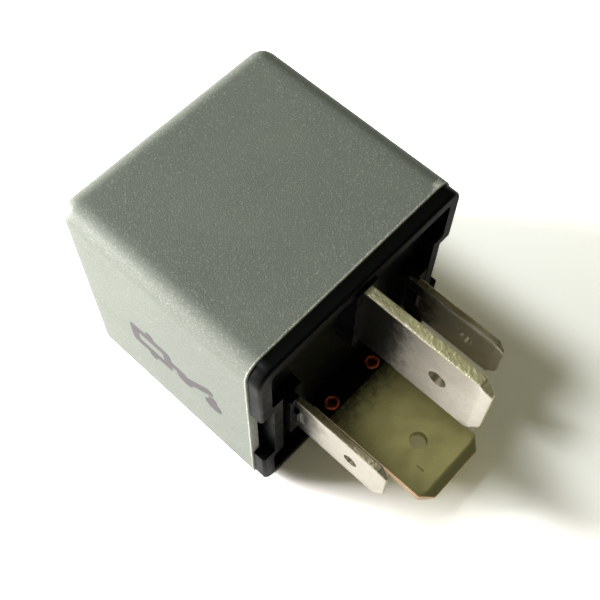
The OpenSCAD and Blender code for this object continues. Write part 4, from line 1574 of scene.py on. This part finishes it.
    def _stretch(self, obj: Object, ends: Array) -> None:
        """Frees a piece from its body: drops its parent and bakes its place into its mesh."""
        obj.parent = None
        obj.matrix_world = Matrix.Identity(4)
        del obj["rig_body"]
        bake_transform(obj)

    def _braid(self) -> None:
        """Copper braid from the strip round the yoke to the common blade's stem.

        Strands run both ways round the middle line on the radius R + w cos(n a), so that each
        passes over and under the ones that run the other way.
        """
        x, top, tab = -1.25, -21.2, self.tab_z / MM
        knots = np.array([
            [-1.7, -4.6, top - 0.1], [-1.7, -3.0, top - 0.1], [-2, -0.8, top - 0.2],
            [-2.6, 1.2, top + 0.3], [-3.1, 1.95, top + 2], [-3.1, 1.95, top + 5],
            [-2.7, 1.7, tab - 1], [x - 0.3, 1.35, -7.3], [x, 1.15, -5.6], [x, 1.15, -3.6],
        ]) * MM + np.array([0, self.layout.hinge_y, 0])
        path = smooth_path(self.layout.at(knots), 260)
        along = unit(np.gradient(path, axis=0))
        clear = np.array([0.9, 0.1, 0.43])
        side = unit(np.cross(along, clear))
        other = np.cross(along, side)
        run = np.concatenate([[0], np.cumsum(np.linalg.norm(np.diff(path, axis=0), axis=1))])
        lay = 3.4 * MM
        spread = self.braid_r - 1.9 * self.strand_r
        surfaces = []
        for way in (-1, 1):
            for k in range(self.strands):
                a = way * FULL_TURN * run / lay + FULL_TURN * k / self.strands
                ripple = way * np.cos(self.strands * FULL_TURN * run / lay)
                r = spread + 0.8 * self.strand_r * ripple
                round_it = np.cos(a)[:, None] * side + np.sin(a)[:, None] * other
                strand = path + r[:, None] * round_it
                surfaces.append(tube(strand, self.strand_r, np.array([0.7, 0.2, 0.69]), 6))
        surfaces.append(tube(path, 0.62 * spread, clear, 12))
        obj = mesh_of("copper_braid", surfaces, 70)
        self.shop.piece(obj, [self.shop.finishes.copper], Body.BASE, "copper", ["braid"])
        self._stretch(obj, np.stack([path[190], path[40]]))


@dataclass
class Base:
    """Moulded base with the skirt, the pockets and the bosses round the blades."""

    shop: Workshop

    def build(self) -> None:
        """Dresses the base."""
        self.shop.node("base", self.shop.finishes.base, 0.07 * MM)


# ---------------------------------------------------------------------------------------------
# Studio
# ---------------------------------------------------------------------------------------------


@dataclass(frozen=True)
class Lamp:
    """Soft rectangular lamp that faces the relay.

    Attributes:
        name: the lamp's name.
        azimuth: direction it shines from, in degrees from -Y towards -X.
        elevation: its height above the horizon, in degrees.
        distance: distance from the relay.
        width: its width, level with the floor.
        height: its height.
        power: its power in watts.
        colour: its colour.
    """

    name: str
    azimuth: float
    elevation: float
    distance: float
    width: float
    height: float
    power: float
    colour: Colour = (1, 1, 1)

    def build(self, target: Array) -> None:
        """Puts the lamp in the scene, facing the target."""
        a, e = math.radians(self.azimuth), math.radians(self.elevation)
        way = np.array([-math.sin(a) * math.cos(e), -math.cos(a) * math.cos(e), math.sin(e)])
        light = bpy.data.lights.new(self.name, "AREA")
        light.shape, light.size, light.size_y = "RECTANGLE", self.width, self.height
        light.energy = self.power
        light.color = self.colour
        obj = bpy.data.objects.new(self.name, light)
        bpy.context.scene.collection.objects.link(obj)
        side = unit(np.cross([0, 0, 1.0], way))
        turn = np.eye(4)
        turn[:3, :3] = np.stack([side, np.cross(way, side), way], -1)
        turn[:3, 3] = target + self.distance * way
        obj.matrix_world = Matrix(turn.tolist())


@dataclass(frozen=True)
class Camera:
    """Camera that looks down at the relay from the side of its blades.

    Attributes:
        place: its place, in metres.
        azimuth: direction it looks from, in degrees from -Y towards +X.
        elevation: its height above the horizon, in degrees.
        roll: its turn about its own axis, in degrees.
        lens: its focal length, in millimetres on a sensor 36 mm wide.
    """

    place: Point = (-35.57 * MM, -29.66 * MM, 104.76 * MM)
    azimuth: float = -48.21
    elevation: float = 62.37
    roll: float = 1.39
    lens: float = 59.14

    def build(self) -> None:
        """Makes the scene's camera."""
        a, e, r = (math.radians(v) for v in (self.azimuth, self.elevation, self.roll))
        back = np.array([math.sin(a) * math.cos(e), -math.cos(a) * math.cos(e), math.sin(e)])
        level = np.array([math.cos(a), math.sin(a), 0])
        upright = np.cross(back, level)
        right = math.cos(r) * level + math.sin(r) * upright
        turn = np.eye(4)
        turn[:3, :3] = np.stack([right, np.cross(back, right), back], -1)
        turn[:3, 3] = self.place
        data = bpy.data.cameras.new("camera")
        data.sensor_width, data.lens = 36, self.lens
        data.clip_start, data.clip_end = 0.005, 20
        obj = bpy.data.objects.new("camera", data)
        bpy.context.scene.collection.objects.link(obj)
        obj.matrix_world = Matrix(turn.tolist())
        bpy.context.scene.camera = obj


@dataclass(frozen=True)
class Studio:
    """Pale floor, soft lamps and a pale surround.

    Attributes:
        floor_side: half side of the floor.
        floor_bounce: brightness of the floor as the relay meets it.
        floor_glossed: brightness of the floor as glossy surfaces mirror it.
        floor_seen: brightness of the floor as the camera sees it.
        surround: brightness of the surround as the relay meets it.
        tint: colour of the surround as the relay meets it.
        lamps: the lamps.
    """

    floor_side: float = 0.4
    floor_bounce: float = 0.8
    floor_glossed: float = 1.15
    floor_seen: float = 2.1
    surround: float = 0.075
    tint: Colour = (1, 0.96, 0.62)
    lamps: tuple[Lamp, ...] = (
        Lamp("window", 158.3, 53.8, 0.58, 0.112, 0.112, 1.38, (0.97, 1, 0.96)),
        Lamp("key", 141.5, 12, 0.249, 0.077, 0.077, 1.15, (1, 0.97, 0.95)),
        Lamp("low", 149.5, 5.1, 0.366, 0.274, 0.042, 1.6, (1, 0.96, 0.93)),
        Lamp("card", 247.6, 69, 0.6, 0.27, 0.27, 0.11, (1, 0.94, 0.66)),
    )

    def build(self, target: Array) -> None:
        """Makes the floor, the lamps and the world."""
        self._floor()
        self._world()
        for lamp in self.lamps:
            lamp.build(target)
        scene = bpy.context.scene
        scene.view_settings.view_transform = "Standard"

    def _floor(self) -> None:
        """Flat floor under the relay."""
        h = self.floor_side
        mesh = bpy.data.meshes.new("floor")
        mesh.from_pydata([(-h, -h, 0), (h, -h, 0), (h, h, 0), (-h, h, 0)], [], [(0, 1, 2, 3)])
        obj = bpy.data.objects.new("floor", mesh)
        bpy.context.scene.collection.objects.link(obj)
        s = Shader("floor_paper")
        b, g, f = self.floor_bounce, self.floor_glossed, self.floor_seen
        rays = s.node("LightPath").outputs
        paper = s.mix(rays["Is Glossy Ray"], (b, b, b), (g, g, g))
        paper = s.mix(rays["Is Camera Ray"], paper, (f, f, f))
        mesh.materials.append(s.dress(paper, 0.9, specular=0))
        obj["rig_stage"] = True

    def _world(self) -> None:
        """Even surround, white where it is seen."""
        world = bpy.data.worlds.new("surround")
        world.use_nodes = True
        bpy.context.scene.world = world
        tree = world.node_tree
        back = tree.nodes["Background"]
        path = tree.nodes.new("ShaderNodeLightPath")
        level = tree.nodes.new("ShaderNodeMix")
        level.data_type = "RGBA"
        level.inputs[6].default_value = (*(self.surround * c for c in self.tint), 1)
        level.inputs[7].default_value = (1, 1, 1, 1)
        tree.links.new(path.outputs["Is Camera Ray"], level.inputs[0])
        tree.links.new(level.outputs[2], back.inputs["Color"])


def box_list(box: tuple[Sequence[float], Sequence[float]]) -> list[list[float]]:
    """A box as plain lists of numbers."""
    return [[float(v) for v in corner] for corner in box]


def main() -> None:
    """Builds the sub-assemblies in order, then the studio and the camera."""
    logging.basicConfig(level=logging.INFO, format="%(name)s: %(message)s")
    cad_box = box_list(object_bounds())
    layout = Layout.read()
    shop = Workshop(Finishes.make())
    Cover(shop).build()
    Base(shop).build()
    Blades(shop, layout).build()
    Coil(shop, layout).build()
    Magnet(shop, layout).build()
    middle = np.array(cad_box).mean(0)
    Studio().build(middle)
    Camera().build()


if __name__ == "__main__":
    main()
